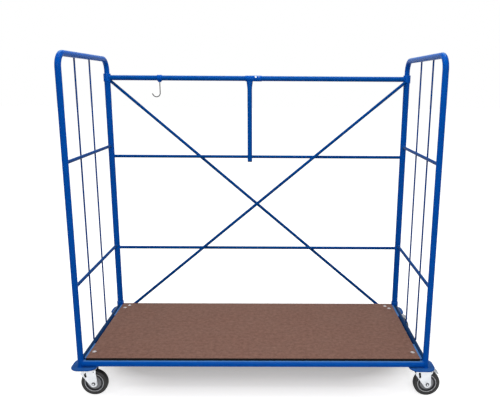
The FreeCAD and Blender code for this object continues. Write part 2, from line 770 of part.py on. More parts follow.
def caster_top_plate():
    plate = flat_plate(rectangle(caster_plate_length, caster_plate_depth, caster_plate_corner), 0, 0,
                       caster_plate_under, caster_plate_thickness)
    skirt_in = race_dia + 2 * swivel_gap
    skirt = ring(Vector(0, 0, caster_plate_under - race_skirt_height / 2), UP,
                 skirt_in + 2 * race_skirt_wall, skirt_in, race_skirt_height)
    plate = fuse_all([plate, skirt])
    for hole in caster_holes(Vector(0, 0, 0)):
        low = Vector(hole.x, hole.y, caster_plate_under)
        plate = plate.cut(Part.makeCylinder(bolt_dia / 2 + bolt_clearance, caster_plate_thickness, low))
    return plate.cut(Part.makeCylinder(kingpin_dia / 2, caster_height))


def kingpin_rivet():
    head_top = fork_crown_under - swivel_gap
    head = Part.makeCylinder(kingpin_head_dia / 2, kingpin_head_height, Vector(0, 0, head_top), -UP)
    head = head.makeFillet(kingpin_head_round, [edge_at(head, head_top - kingpin_head_height)])
    stem = Part.makeCylinder(kingpin_dia / 2, caster_height - head_top, Vector(0, 0, head_top))
    return fuse_all([head, stem])


def plate_bolt(hole):
    head_top = Vector(hole.x, hole.y, caster_plate_under)
    head = hex_prism(head_top, -UP, nut_across_flats, caster_bolt_head)
    shank = Part.makeCylinder(bolt_dia / 2, plate_top - caster_plate_under, head_top)
    return fuse_all([head, shank])


def moved(solid, place):
    copy = solid.copy()
    copy.translate(place)
    return copy


def casters():
    pieces = {
        "caster_plate": [caster_top_plate()],
        "tyre": [tyre()],
        "wheel_core": [wheel_core()],
        "axle": axle_set(),
    }
    rivet = kingpin_rivet()
    rivets = []
    bolts = []
    for corner, (sx, _) in corners.items():
        place = caster_place(corner)
        braked = sx > 0
        for piece, solids in pieces.items():
            save(corner + "_" + piece, *[moved(solid, place) for solid in solids])
        save(corner + "_caster_fork", moved(caster_fork(braked), place))
        if braked:
            save(corner + "_brake_pedal", moved(brake_pedal(), place))
        rivets.append(moved(rivet, place))
        bolts.extend(plate_bolt(hole) for hole in caster_holes(place))
    save("caster_kingpins", *rivets)
    save("caster_bolts", *bolts)


def build():
    post_cores = {side: hoop_body(sign * half_x, post_dia) for side, sign in ends.items()}
    rail_names = ("front", "rear", "left", "right")
    rail_cores = {name: bar(*base_rail_span(name), base_rail_dia) for name in rail_names}
    collar_cores = {}
    for side, sign in ends.items():
        foot = Vector(sign * half_x, half_y, plate_top)
        collar_cores[side] = Part.makeCylinder(foot_collar_dia / 2, foot_collar_height, foot)
    sleeve_cores = {side: rear_sleeve(side, rear_sleeve_dia) for side in ends}
    end_frames(post_cores, sleeve_cores, rail_cores)
    stops = list(post_cores.values()) + list(collar_cores.values())
    base_frame(rail_cores, stops)
    gussets = gussets_and_deck(rail_cores, stops)
    back_wall(sleeve_cores, rail_cores, gussets)
    corner_plates()
    swinging_arm()
    hook_and_collar()
    casters()


build()
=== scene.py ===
import bpy
import json
import math
from mathutils import Matrix, Vector


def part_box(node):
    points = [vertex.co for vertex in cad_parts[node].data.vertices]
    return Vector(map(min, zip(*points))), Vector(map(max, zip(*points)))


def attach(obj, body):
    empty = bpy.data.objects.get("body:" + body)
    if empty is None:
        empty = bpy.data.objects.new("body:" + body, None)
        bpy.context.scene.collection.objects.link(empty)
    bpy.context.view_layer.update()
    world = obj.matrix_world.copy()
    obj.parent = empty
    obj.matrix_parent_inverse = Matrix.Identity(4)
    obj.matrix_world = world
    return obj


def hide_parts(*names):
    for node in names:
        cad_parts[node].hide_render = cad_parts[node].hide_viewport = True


# Blue tube trolley with a film-faced board deck on four casters: its finishes, small parts and studio.
# Metres. +Z is up and the open front faces -Y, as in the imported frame.

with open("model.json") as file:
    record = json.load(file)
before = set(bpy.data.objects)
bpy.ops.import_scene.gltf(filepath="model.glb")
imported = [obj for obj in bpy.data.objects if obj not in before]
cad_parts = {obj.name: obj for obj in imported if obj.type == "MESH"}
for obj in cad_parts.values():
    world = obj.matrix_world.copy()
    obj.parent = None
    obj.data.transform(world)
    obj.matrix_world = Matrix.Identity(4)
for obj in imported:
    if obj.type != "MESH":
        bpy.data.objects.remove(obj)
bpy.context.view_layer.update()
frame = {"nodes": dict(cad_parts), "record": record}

MM = 0.001
UP = Vector((0, 0, 1))
ALONG_X = Vector((1, 0, 0))
ALONG_Y = Vector((0, 1, 0))
ENDS = {"left": -1, "right": 1}
CORNERS = {
    "front_left": (-1, -1),
    "front_right": (1, -1),
    "rear_left": (-1, 1),
    "rear_right": (1, 1),
}


# Places and sizes read from the frame

def middle(node):
    low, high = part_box(node)
    return (low + high) / 2


def extent(node):
    low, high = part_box(node)
    return high - low


hoop_low, hoop_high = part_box("right_end_hoop")
post_radius = (hoop_high.x - hoop_low.x) / 2
end_x = (hoop_high.x + hoop_low.x) / 2
post_y = hoop_high.y - post_radius
plate_top = hoop_low.z
hoop_axis_top = hoop_high.z - post_radius
rung_radius = extent("left_upper_rung").z / 2
upright_radius = extent("left_upright_rods").x / 2
top_rail_axis = middle("back_top_rail")
top_rail_radius = extent("back_top_rail").z / 2
back_rod_radius = extent("back_middle_rod").z / 2
base_rail_radius = extent("front_base_rail").z / 2
base_axis = middle("front_base_rail").z
deck_low, deck_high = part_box("deck_board")

rail_ring_radius = extent("left_rail_sleeve").x / 2
foot_collar_radius = extent("left_foot_collar").x / 2
wheel_radius = extent("front_left_tyre").z / 2
axle_height = middle("front_left_tyre").z
caster_trail = middle("front_left_tyre").x - middle("front_left_caster_plate").x
race_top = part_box("front_left_caster_fork")[1].z
tyre_half = extent("front_left_tyre").y / 2
rim_radius = extent("front_left_wheel_core").z / 2
hub_half = extent("front_left_wheel_core").y / 2

# Edge roundings that many pieces share, and the sides of round sections
fine_edge = 0.5 * MM
bar_edge = 0.6 * MM
small_edge = 0.8 * MM
soft_edge = 1.2 * MM
crease_angle = 35
merge_reach = 0.002 * MM
tube_sides = 40
bar_sides = 32
rod_sides = 20
pin_sides = 24
shank_sides = 16
hexagon = 6

# Sizes of the frame that its boxes don't give
hoop_bend = 60 * MM
hoop_bend_steps = 14
rear_sleeve_radius = 16 * MM
rail_ring_height = 42 * MM
ring_flare = 3 * MM
ring_low_edge = 1.5 * MM
ring_top_edge = 1.8 * MM
brace_head_drop = 6.5 * MM
brace_head_setback = 12 * MM
brace_foot_inset = {"falling_brace": 92 * MM, "rising_brace": 64 * MM}
corner_plate_round = 40 * MM
gusset_thickness = 6 * MM
bearer_corner = 3 * MM

# Weld runs: their size, how deep each starts inside the tube it meets, and the run's section as
# shares of its size along the bar and out from it
weld_size = 2.2 * MM
post_weld_size = 3 * MM
collar_weld_size = 2 * MM
arm_weld_size = 2 * MM
rung_weld_sink = 2 * MM
sleeve_weld_sink = 1.5 * MM
ring_weld_sink = 3.5 * MM
foot_weld_sink = 4 * MM
post_weld_sink = 1 * MM
arm_weld_sink = 2 * MM
weld_section = [(-1, 1), (0, 1), (0.35, 0.7), (0.8, 0.35), (1.3, 0)]
weld_sides = 28

# Deck board and its bolts, placed inwards from their corner post in millimetres
deck_corner = 4 * MM
deck_bolt_insets = {"front": [(45, 61)], "rear": [(51, 87), (68, 56)]}
bolt_head = 10 * MM
bolt_dome_rings = 8
bolt_seat = 10.6 * MM
bolt_seat_depth = 1 * MM
bolt_seat_cut = 6 * MM
bolt_shank = 4 * MM
nut_across_flats = 13 * MM
nut_radius = nut_across_flats / math.sqrt(3)
nut_height = 6.5 * MM

# Arm, its stop and the hook
arm_reach = 446 * MM
arm_neck_start = 8 * MM
arm_neck_width = 34 * MM
arm_neck_depth = 20 * MM
arm_neck_length = 60 * MM
arm_neck_steps = 6
arm_cap_flange = 4 * MM
arm_plug_length = 10 * MM
arm_plug_inset = 2 * MM
arm_plug_edge = 1.4 * MM
arm_plug_ease = 0.4 * MM
arm_plug_dimple = 1 * MM
running_clearance = 0.05 * MM
stop_screws = [(-11 * MM, 5 * MM), (6 * MM, 2.2 * MM)]
stop_screw_side = Vector((0, -0.86, 0.5))
stop_screw_sink = 1 * MM
# Heights of a screw head in metres and the shares of its radius there, down into its socket
stop_screw_head = [(0, 1), (2.6 * MM, 1), (3.4 * MM, 0.8), (3.6 * MM, 0.5), (2.2 * MM, 0.45), (2.2 * MM, 0.1)]
hook_collar_round = 3.4 * MM
hook_collar_arc_steps = 5
hook_boss = 9 * MM
hook_boss_start = 10 * MM
hook_boss_edge = 1.6 * MM
hook_boss_bore = 3 * MM
hook_start = 17 * MM
hook_drop = 79 * MM
hook_bend = 20 * MM
hook_bend_steps = 18
hook_tip = 9 * MM
hook_tip_rings = 4
hook_tip_turn = 20
hook_flare = 35
hook_wire = 2.5 * MM

# Casters: the fork
fork_outer = 22.5 * MM
fork_cut_reach = 2 * fork_outer
fork_merge_reach = 0.01 * MM
fork_crease = 40
inward_look = 0.7
fork_sheet = 2.5 * MM
fork_crown = 133.5 * MM
fork_lead = 28 * MM
fork_tail = 47 * MM
fork_lead_drop = 15 * MM
fork_apex = 18 * MM
fork_apex_steps = 12
fork_fold = 6 * MM
fork_corner = 8 * MM
fork_corner_turns = (18, 45, 72)
fork_slot_lead = 3 * MM
fork_slot_rise = 46.5 * MM
fork_slot_length = 30 * MM
fork_slot_radius = 5.3 * MM
fork_slot_tilt = 10
fork_hole_ahead = 2 * MM
fork_hole_height = 122 * MM
fork_hole_radius = 2.6 * MM
brake_lug_reach = 10 * MM
brake_lug_height = 13 * MM
fork_rim = 1.2 * MM
fork_bead = 1.8 * MM
bead_sides = 14
bead_bend_steps = 16
bead_seat = 1.05
bead_point = 0.3
bead_taper = 4 * MM
bead_lead_gap = 5 * MM
bead_tail_run = 40 * MM

# Casters: the swivel race and the top plate
race_radius = 21 * MM
race_bore = 6 * MM
race_sink = 0.5 * MM
race_flange = 1.5 * MM
race_flange_height = 1.2 * MM
race_flange_slope = 2 * MM
race_gap = 0.4 * MM
skirt_radius = 24.9 * MM
skirt_flare = 2 * MM
caster_plate_low = 149 * MM
caster_plate_corner = 12 * MM
caster_hole = Vector((40 * MM, 30 * MM, 0))
caster_bolt_head = 5.3 * MM
caster_bolt_point = 0.86
caster_bolt_shank = 7.5 * MM

# Casters: wheel and axle
tyre_shoulder = 9 * MM
tyre_crown = 0.3 * MM
tyre_side_rise = (3 * MM, 5 * MM, 7 * MM)
tyre_side_ease = 0.2 * MM
tyre_sides = 72
tyre_arc_steps = 7
rim_half = 13 * MM
rim_edge = 1 * MM
disc_half = 11 * MM
disc_in = 15 * MM
disc_out = 31 * MM
disc_edge = 1 * MM
boss_radius = 13.5 * MM
boss_edge = 0.9 * MM
groove_in = 20.4 * MM
groove_out = 25.6 * MM
groove_depth = 1.5 * MM
groove_slope = 0.6 * MM
web_half = 4.5 * MM
recess_in = 32 * MM
recess_out = 41.5 * MM
recess_slope = 1.5 * MM
core_sides = 64
# Room between the rings of faces that have a tone of their own and the edges of the wheel and nut
recess_tone_in = 0.4 * MM
recess_tone_out = 0.2 * MM
axle_tone_in = 0.3 * MM
axle_tone_out = 1.2 * MM
axle_bush = 6 * MM
washer_radius = 9.4 * MM
# Distances out from the fork's leg
washer_face = 1 * MM
washer_top = 1.4 * MM
axle_nut_shoulder = 4.6 * MM
axle_nut_top = 5.2 * MM
axle_nut_point = 0.9
axle_end_start = 4 * MM
axle_end_shoulder = 5.8 * MM
axle_end_top = 6.4 * MM
axle_end_point = 0.8

# Casters: the brake pedal
pedal_pin_ahead = 16 * MM
pedal_pin_rise = 64.5 * MM
pedal_pin_radius = 2.5 * MM
pedal_pin_head = 3.6 * MM
pedal_pin_proud = 0.9 * MM
pedal_pin_sunk = 0.2 * MM
pedal_knee_ahead = 12 * MM
pedal_knee_rise = 2 * MM
pedal_width = 34 * MM
pedal_sheet = 3 * MM
pedal_slope = 33
pedal_link_overlap = 2 * MM
pedal_pad_length = 28 * MM
pedal_pad_width = 44 * MM
pedal_pad_thickness = 4.5 * MM
pedal_pad_corner = 6 * MM
pedal_pad_edge = 1 * MM
pedal_ribs = 4
pedal_rib_start = 6 * MM
pedal_rib_step = 5.4 * MM
pedal_rib_width = 2.4 * MM
pedal_rib_inset = 5 * MM
pedal_rib_height = 1 * MM
pedal_rib_corner = 1.1 * MM
pedal_rib_edge = 0.4 * MM
pedal_shoe_gap = 6.2 * MM
pedal_shoe_start = 3 * MM
pedal_shoe_end = 18 * MM
pedal_shoe_low = 14 * MM
pedal_shoe_top = 3 * MM
pedal_shoe_tilt = 0.6
pedal_tread_half = 30 * MM
pedal_tread_sides = 96
pedal_corner = 1 * MM


# Handling pieces on the bench

def let_go():
    # Back to object mode with nothing selected.
    if bpy.context.object and bpy.context.object.mode == "EDIT":
        bpy.ops.object.mode_set(mode="OBJECT")
    bpy.ops.object.select_all(action="DESELECT")


def take(piece):
    let_go()
    piece.select_set(True)
    bpy.context.view_layer.objects.active = piece


def select_all():
    bpy.ops.mesh.select_all(action="SELECT")


def open_edit(piece):
    take(piece)
    bpy.ops.object.mode_set(mode="EDIT")
    select_all()


def close_edit():
    bpy.ops.object.mode_set(mode="OBJECT")


def facing(axis):
    return UP.rotation_difference(Vector(axis)).to_euler()


def name_piece(piece, name):
    piece.name = name
    piece.data.name = name
    return piece


def begin_edit(name):
    # The primitive just added becomes a piece at the origin, open in edit mode and selected all over.
    piece = name_piece(bpy.context.object, name)
    bpy.ops.object.transform_apply(location=True, rotation=True, scale=True)
    bpy.ops.object.mode_set(mode="EDIT")
    select_all()
    return piece


def begin_ring(name, centre, axis, radius, sides):
    let_go()
    bpy.ops.mesh.primitive_circle_add(vertices=sides, radius=radius, location=centre, rotation=facing(axis))
    return begin_edit(name)


def draw_out(step):
    bpy.ops.mesh.extrude_region_move(TRANSFORM_OT_translate={"value": tuple(step)})


def stretch(ratios, centre):
    bpy.ops.transform.resize(value=ratios, center_override=tuple(centre))


def widen(ratio, centre):
    stretch((ratio, ratio, ratio), centre)


def bend(degrees, centre, axis, steps):
    # Turns the open end about an axis, by the right-hand rule.
    bpy.ops.mesh.spin(steps=steps, angle=-math.radians(degrees), center=tuple(centre), axis=tuple(axis))


def tilt_about(piece, centre, degrees):
    open_edit(piece)
    bpy.ops.transform.rotate(value=-math.radians(degrees), orient_axis="Y", center_override=tuple(centre))
    close_edit()


def pick(piece, kind, test):
    # Selects the vertices, edges or polygons whose middle passes the test; the piece is in edit mode.
    modes = {"vertices": "VERT", "edges": "EDGE", "polygons": "FACE"}
    bpy.ops.mesh.select_mode(type=modes[kind])
    bpy.ops.mesh.select_all(action="DESELECT")
    close_edit()
    vertices = piece.data.vertices
    for element in getattr(piece.data, kind):
        if kind == "vertices":
            spot = element.co
        else:
            spot = sum((vertices[index].co for index in element.vertices), Vector()) / len(element.vertices)
        element.select = test(spot)
    bpy.ops.object.mode_set(mode="EDIT")


def trim(place, outwards, whole=True):
    # Cuts along a plane and drops its outer side, from the whole piece or only from what is selected.
    if whole:
        select_all()
    bpy.ops.mesh.bisect(plane_co=tuple(place), plane_no=tuple(outwards), clear_outer=True)


def close_up(piece):
    # Merged, capped at any open end and facing outwards.
    select_all()
    bpy.ops.mesh.remove_doubles(threshold=merge_reach)
    bpy.ops.mesh.fill_holes(sides=0)
    select_all()
    bpy.ops.mesh.normals_make_consistent(inside=False)
    close_edit()
    return piece


def apply_modifier(piece, modifier):
    take(piece)
    bpy.ops.object.modifier_apply(modifier=modifier.name)


def soften(piece, width, segments=2, angle=crease_angle):
    rounding = piece.modifiers.new("rounded_edges", "BEVEL")
    rounding.width = width
    rounding.segments = segments
    rounding.limit_method = "ANGLE"
    rounding.angle_limit = math.radians(angle)
    rounding.harden_normals = False
    apply_modifier(piece, rounding)
    return piece


def give_wall(piece, thickness):
    wall = piece.modifiers.new("wall", "SOLIDIFY")
    wall.thickness = thickness
    wall.offset = -1
    wall.use_even_offset = True
    apply_modifier(piece, wall)
    return piece


def cut_away(piece, tool):
    bite = piece.modifiers.new("bite", "BOOLEAN")
    bite.operation = "DIFFERENCE"
    bite.solver = "EXACT"
    bite.object = tool
    apply_modifier(piece, bite)
    bpy.data.objects.remove(tool)


def flat_plate(name, low, high, corner):
    # A plane on the bottom of a box, its corners rounded, drawn up to the box's top.
    let_go()
    bpy.ops.mesh.primitive_plane_add(size=1, location=((low.x + high.x) / 2, (low.y + high.y) / 2, low.z))
    bpy.context.object.scale = (high.x - low.x, high.y - low.y, 1)
    piece = begin_edit(name)
    bpy.ops.mesh.bevel(offset=corner, segments=8, affect="VERTICES")
    select_all()
    draw_out(UP * (high.z - low.z))
    return close_up(piece)


def copy_of(piece, name, shift):
    # A copy with a mesh of its own, moved into place.
    take(piece)
    bpy.ops.object.duplicate(linked=False)
    copy = name_piece(bpy.context.object, name)
    copy.location = shift
    bpy.ops.object.transform_apply(location=True, rotation=False, scale=False)
    return copy


def turned(name, start, axis, profile, sides=48):
    # A ring drawn out along axis and widened at each (distance, radius) of the profile.
    axis = Vector(axis).normalized()
    distance, radius = profile[0]
    piece = begin_ring(name, start + axis * distance, axis, radius, sides)
    for next_distance, next_radius in profile[1:]:
        draw_out(axis * (next_distance - distance))
        widen(next_radius / radius, start + axis * next_distance)
        distance, radius = next_distance, next_radius
    return close_up(piece)


def round_bar(name, start, finish, radius, sides=bar_sides):
    length = (finish - start).length
    eased = radius - bar_edge
    profile = [(0, eased), (bar_edge, radius), (length - bar_edge, radius), (length, eased)]
    return turned(name, start, finish - start, profile, sides)


def sleeve(name, centre, axis, outer, inner, length, rounding):
    half = length / 2
    profile = [(-half, inner), (-half, outer), (half, outer), (half, inner), (-half, inner)]
    piece = turned(name, centre, axis, profile)
    return soften(piece, rounding, 3)


def joined(name, pieces):
    take(pieces[0])
    for piece in pieces[1:]:
        piece.select_set(True)
    bpy.ops.object.join()
    return name_piece(pieces[0], name)


def fit(piece, slot, body, *nodes, tone=None):
    # Smooth shading, the finish of its slot or a tone of it, and the body that it rides on.
    take(piece)
    bpy.ops.object.shade_smooth_by_angle(angle=math.radians(crease_angle))
    piece.data.materials.clear()
    piece.data.materials.append(tone or finishes[slot])
    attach(piece, body)
    if nodes:
        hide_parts(*nodes)
    return piece


# Wiring of finishes

def feed(tree, socket, value):
    # A socket takes the output of another node or a plain value.
    if isinstance(value, bpy.types.NodeSocket):
        tree.links.new(value, socket)
    else:
        socket.default_value = value


def reckon(tree, operation, *values):
    node = tree.nodes.new("ShaderNodeMath")
    node.operation = operation
    for socket, value in zip(node.inputs, values):
        feed(tree, socket, value)
    return node.outputs["Value"]


def reckon_place(tree, operation, *values):
    node = tree.nodes.new("ShaderNodeVectorMath")
    node.operation = operation
    for socket, value in zip(node.inputs, values):
        feed(tree, socket, value)
    return node.outputs["Value" if operation == "LENGTH" else "Vector"]


def own_place(tree):
    return tree.nodes.new("ShaderNodeTexCoord").outputs["Object"]


def upward_look(tree, kind):
    # How far the surface looks up: the Z of its normal.
    surface = tree.nodes.new("ShaderNodeNewGeometry")
    split = tree.nodes.new("ShaderNodeSeparateXYZ")
    tree.links.new(surface.outputs[kind], split.inputs["Vector"])
    return split.outputs["Z"]


def noise_at(tree, place, scale, detail, roughness=0.5):
    noise = tree.nodes.new("ShaderNodeTexNoise")
    noise.inputs["Detail"].default_value = detail
    noise.inputs["Roughness"].default_value = roughness
    feed(tree, noise.inputs["Vector"], place)
    feed(tree, noise.inputs["Scale"], scale)
    return noise.outputs["Fac"]


def bands(tree, direction, scale, distortion):
    wave = tree.nodes.new("ShaderNodeTexWave")
    wave.wave_type = "BANDS"
    wave.bands_direction = direction
    wave.inputs["Scale"].default_value = scale
    wave.inputs["Distortion"].default_value = distortion
    wave.inputs["Detail"].default_value = 2
    feed(tree, wave.inputs["Vector"], own_place(tree))
    return wave.outputs["Fac"]


def spread(tree, value, low, high, to_low, to_high):
    # Stretches the low to high part of a value over to_low to to_high, kept inside them.
    ramp = tree.nodes.new("ShaderNodeMapRange")
    ramp.clamp = True
    ends = {"Value": value, "From Min": low, "From Max": high, "To Min": to_low, "To Max": to_high}
    for label, end in ends.items():
        feed(tree, ramp.inputs[label], end)
    return ramp.outputs["Result"]


def blend_colours(tree, share, first, second):
    mix = tree.nodes.new("ShaderNodeMix")
    mix.data_type = "RGBA"
    feed(tree, mix.inputs["Factor"], share)
    for label, colour in (("A", first), ("B", second)):
        socket = [s for s in mix.inputs if s.name == label and s.type == "RGBA"][0]
        feed(tree, socket, colour)
    return [s for s in mix.outputs if s.type == "RGBA"][0]


# Shared effects for the finishes

def effect_group(name, inputs, outputs):
    # Inputs are given with their starting values: numbers, colours of four values or vectors of three.
    kinds = {3: "NodeSocketVector", 4: "NodeSocketColor"}
    group = bpy.data.node_groups.new(name, "ShaderNodeTree")
    for label, value in inputs.items():
        kind = kinds[len(value)] if isinstance(value, tuple) else "NodeSocketFloat"
        socket = group.interface.new_socket(name=label, in_out="INPUT", socket_type=kind)
        socket.default_value = value
    for label, kind in outputs.items():
        group.interface.new_socket(name=label, in_out="OUTPUT", socket_type=kind)
    entry = group.nodes.new("NodeGroupInput")
    leave = group.nodes.new("NodeGroupOutput")
    return group, entry.outputs, leave.inputs


def mottle_group():
    # Two tones drifting into each other, with a finer drift laid over.
    fine_share = 0.45
    group, entry, leave = effect_group(
        "two_tone_mottle",
        {"Tone": (0.5, 0.5, 0.5, 1), "Other Tone": (0.4, 0.4, 0.4, 1),
         "Coarse Scale": 6.0, "Fine Scale": 60.0},
        {"Color": "NodeSocketColor", "Drift": "NodeSocketFloat"})
    coarse = noise_at(group, own_place(group), entry["Coarse Scale"], 4, 0.6)
    fine = noise_at(group, own_place(group), entry["Fine Scale"], 3, 0.6)
    both = reckon(group, "MULTIPLY_ADD", fine, fine_share, coarse)
    drift = spread(group, both, 0.5, 0.95, 0.0, 1.0)
    feed(group, leave["Color"], blend_colours(group, drift, entry["Tone"], entry["Other Tone"]))
    feed(group, leave["Drift"], drift)
    return group


def dust_and_top_light_group():
    # Dust that settles on upward faces, thicker in patches. The blue coats use the same mask for a painted
    # highlight: faces that look up turn a paler blue.
    level_face = 0.97
    group, entry, leave = effect_group(
        "dust_and_painted_top_light",
        {"Amount": 0.2, "Patch Scale": 12.0, "Least": 0.0, "Slope": 0.35},
        {"Mask": "NodeSocketFloat"})
    upward = spread(group, upward_look(group, "Normal"), entry["Slope"], level_face, 0.0, 1.0)
    patches = noise_at(group, own_place(group), entry["Patch Scale"], 5, 0.65)
    thick = spread(group, patches, 0.35, 0.75, entry["Least"], 1.0)
    lie = reckon(group, "MULTIPLY", upward, thick)
    feed(group, leave["Mask"], reckon(group, "MULTIPLY", lie, entry["Amount"]))
    return group


def scuff_group():
    # Thin broken scratches running along one direction of the piece.
    group, entry, leave = effect_group(
        "rubbed_scuffs",
        {"Stretch": (1.0, 1.0, 1.0), "Scale": 90.0, "Amount": 0.5},
        {"Mask": "NodeSocketFloat"})
    place = reckon_place(group, "MULTIPLY", own_place(group), entry["Stretch"])
    lines = noise_at(group, place, entry["Scale"], 6, 0.7)
    feed(group, leave["Mask"], spread(group, lines, 0.58, 0.7, 0.0, entry["Amount"]))
    return group


def grain_group():
    # Fine relief: a small ripple with a finer one over it.
    grit_share = 0.35
    group, entry, leave = effect_group(
        "fine_relief",
        {"Ripple Scale": 400.0, "Grit Scale": 1500.0},
        {"Height": "NodeSocketFloat"})
    ripple = noise_at(group, own_place(group), entry["Ripple Scale"], 2)
    grit = noise_at(group, own_place(group), entry["Grit Scale"], 2)
    feed(group, leave["Height"], reckon(group, "MULTIPLY_ADD", grit, grit_share, ripple))
    return group


mottle = mottle_group()
dust_and_painted_top_light = dust_and_top_light_group()
rubbed_scuffs = scuff_group()
fine_relief = grain_group()


# Finishes

def new_finish(name):
    material = bpy.data.materials.new(name)
    material.use_nodes = True
    return material, material.node_tree, material.node_tree.nodes["Principled BSDF"]


def place_effect(tree, group, **values):
    node = tree.nodes.new("ShaderNodeGroup")
    node.node_tree = group
    for label, value in values.items():
        node.inputs[label.replace("_", " ").title()].default_value = value
    return node.outputs


def raise_surface(tree, shader, height, strength, depth):
    bump = tree.nodes.new("ShaderNodeBump")
    bump.inputs["Strength"].default_value = strength
    bump.inputs["Distance"].default_value = depth
    tree.links.new(height, bump.inputs["Height"])
    tree.links.new(bump.outputs["Normal"], shader.inputs["Normal"])


def rgb(red, green, blue):
    # A colour written as it looks on screen, 0 to 255, as linear light.
    def linear(level):
        level = level / 255
        return level / 12.92 if level <= 0.04045 else ((level + 0.055) / 1.055) ** 2.4
    return (linear(red), linear(green), linear(blue), 1)


def blue_paint(name, tone, other_tone, painted_top_light, shine, sheen):
    # Smooth blue coat with a painted highlight that makes faces looking up a lighter blue, and a pale sheen
    # at a slant.
    material, tree, shader = new_finish(name)
    tones = place_effect(tree, mottle, tone=tone, other_tone=other_tone, coarse_scale=3.0, fine_scale=12.0)
    # Painted highlight: the mask of upward faces lightens the coat towards a pale blue.
    dust_and_top_light = place_effect(tree, dust_and_painted_top_light, amount=painted_top_light, patch_scale=4.0, least=0.75, slope=0.72)
    scuffs = place_effect(tree, rubbed_scuffs, stretch=(1.0, 1.0, 0.25), scale=40.0, amount=0.06)
    relief = place_effect(tree, fine_relief, ripple_scale=60.0, grit_scale=300.0)
    rubbed = blend_colours(tree, scuffs["Mask"], tones["Color"], rgb(16, 82, 170))
    top_lit_colour = blend_colours(tree, dust_and_top_light["Mask"], rubbed, rgb(110, 165, 215))
    feed(tree, shader.inputs["Base Color"], top_lit_colour)
    feed(tree, shader.inputs["Roughness"], spread(tree, tones["Drift"], 0.0, 1.0, 0.22, 0.30))
    shader.inputs["Specular IOR Level"].default_value = shine
    shader.inputs["Sheen Weight"].default_value = sheen
    shader.inputs["Sheen Roughness"].default_value = 0.3
    shader.inputs["Sheen Tint"].default_value = rgb(48, 142, 214)
    raise_surface(tree, shader, relief["Height"], 0.02, 0.1 * MM)
    return material


def ply_edge_colour_and_shade(tree):
    # Layers of veneer seen on the sealed edge, near black: partly the edge's own dark seal, partly painted
    # shade.
    layers = bands(tree, "Z", 120.0, 0.6)
    return blend_colours(tree, layers, rgb(6, 5, 6), rgb(15, 11, 10))


def wire_imprint(tree):
    # The grid that the film's press sheet leaves, two crossed sets of ridges about 4 mm apart.
    ridges = [bands(tree, direction, 78.0, 0.3) for direction in ("X", "Y")]
    return reckon(tree, "MAXIMUM", *ridges)


def film_faced_ply():
    material, tree, shader = new_finish("brown_film_faced_ply")
    face = place_effect(tree, mottle, tone=rgb(114, 81, 69), other_tone=rgb(144, 108, 95),
                        coarse_scale=55.0, fine_scale=170.0)
    dust_and_top_light = place_effect(tree, dust_and_painted_top_light, amount=0.08, patch_scale=5.0)
    scuffs = place_effect(tree, rubbed_scuffs, stretch=(0.3, 1.0, 1.0), scale=60.0, amount=0.5)
    worn = blend_colours(tree, scuffs["Mask"], face["Color"], rgb(152, 119, 106))
    dusted = blend_colours(tree, dust_and_top_light["Mask"], worn, rgb(150, 134, 124))
    flat = reckon(tree, "ABSOLUTE", upward_look(tree, "True Normal"))
    on_face = spread(tree, flat, 0.6, 0.8, 0.0, 1.0)
    feed(tree, shader.inputs["Base Color"], blend_colours(tree, on_face, ply_edge_colour_and_shade(tree), dusted))
    feed(tree, shader.inputs["Roughness"], spread(tree, face["Drift"], 0.0, 1.0, 0.56, 0.7))
    shader.inputs["Specular IOR Level"].default_value = 0.1
    raise_surface(tree, shader, wire_imprint(tree), 0.35, 0.25 * MM)
    return material


def plain_finish(name, tone, other_tone, metal, rough, scales, bump, scuff_tone,
                 dust_tone=None, dust_amount=0.0):
    # A two-toned surface with varied gloss, fine relief, scuffs and, on some, settled dust.
    # The scales are those of the coarse and fine drift of tone, of the ripple and of the grit.
    coarse, fine, ripple, grit = scales
    material, tree, shader = new_finish(name)
    tones = place_effect(tree, mottle, tone=tone, other_tone=other_tone, coarse_scale=coarse, fine_scale=fine)
    relief = place_effect(tree, fine_relief, ripple_scale=ripple, grit_scale=grit)
    scuffs = place_effect(tree, rubbed_scuffs, stretch=(1.0, 1.0, 1.0), scale=140.0, amount=0.4)
    colour = blend_colours(tree, scuffs["Mask"], tones["Color"], scuff_tone)
    if dust_tone:
        dust_and_top_light = place_effect(tree, dust_and_painted_top_light, amount=dust_amount, patch_scale=30.0)
        colour = blend_colours(tree, dust_and_top_light["Mask"], colour, dust_tone)
    feed(tree, shader.inputs["Base Color"], colour)
    feed(tree, shader.inputs["Roughness"], spread(tree, tones["Drift"], 0.0, 1.0, *rough))
    shader.inputs["Metallic"].default_value = metal
    raise_surface(tree, shader, relief["Height"], bump, 0.2 * MM)
    return material


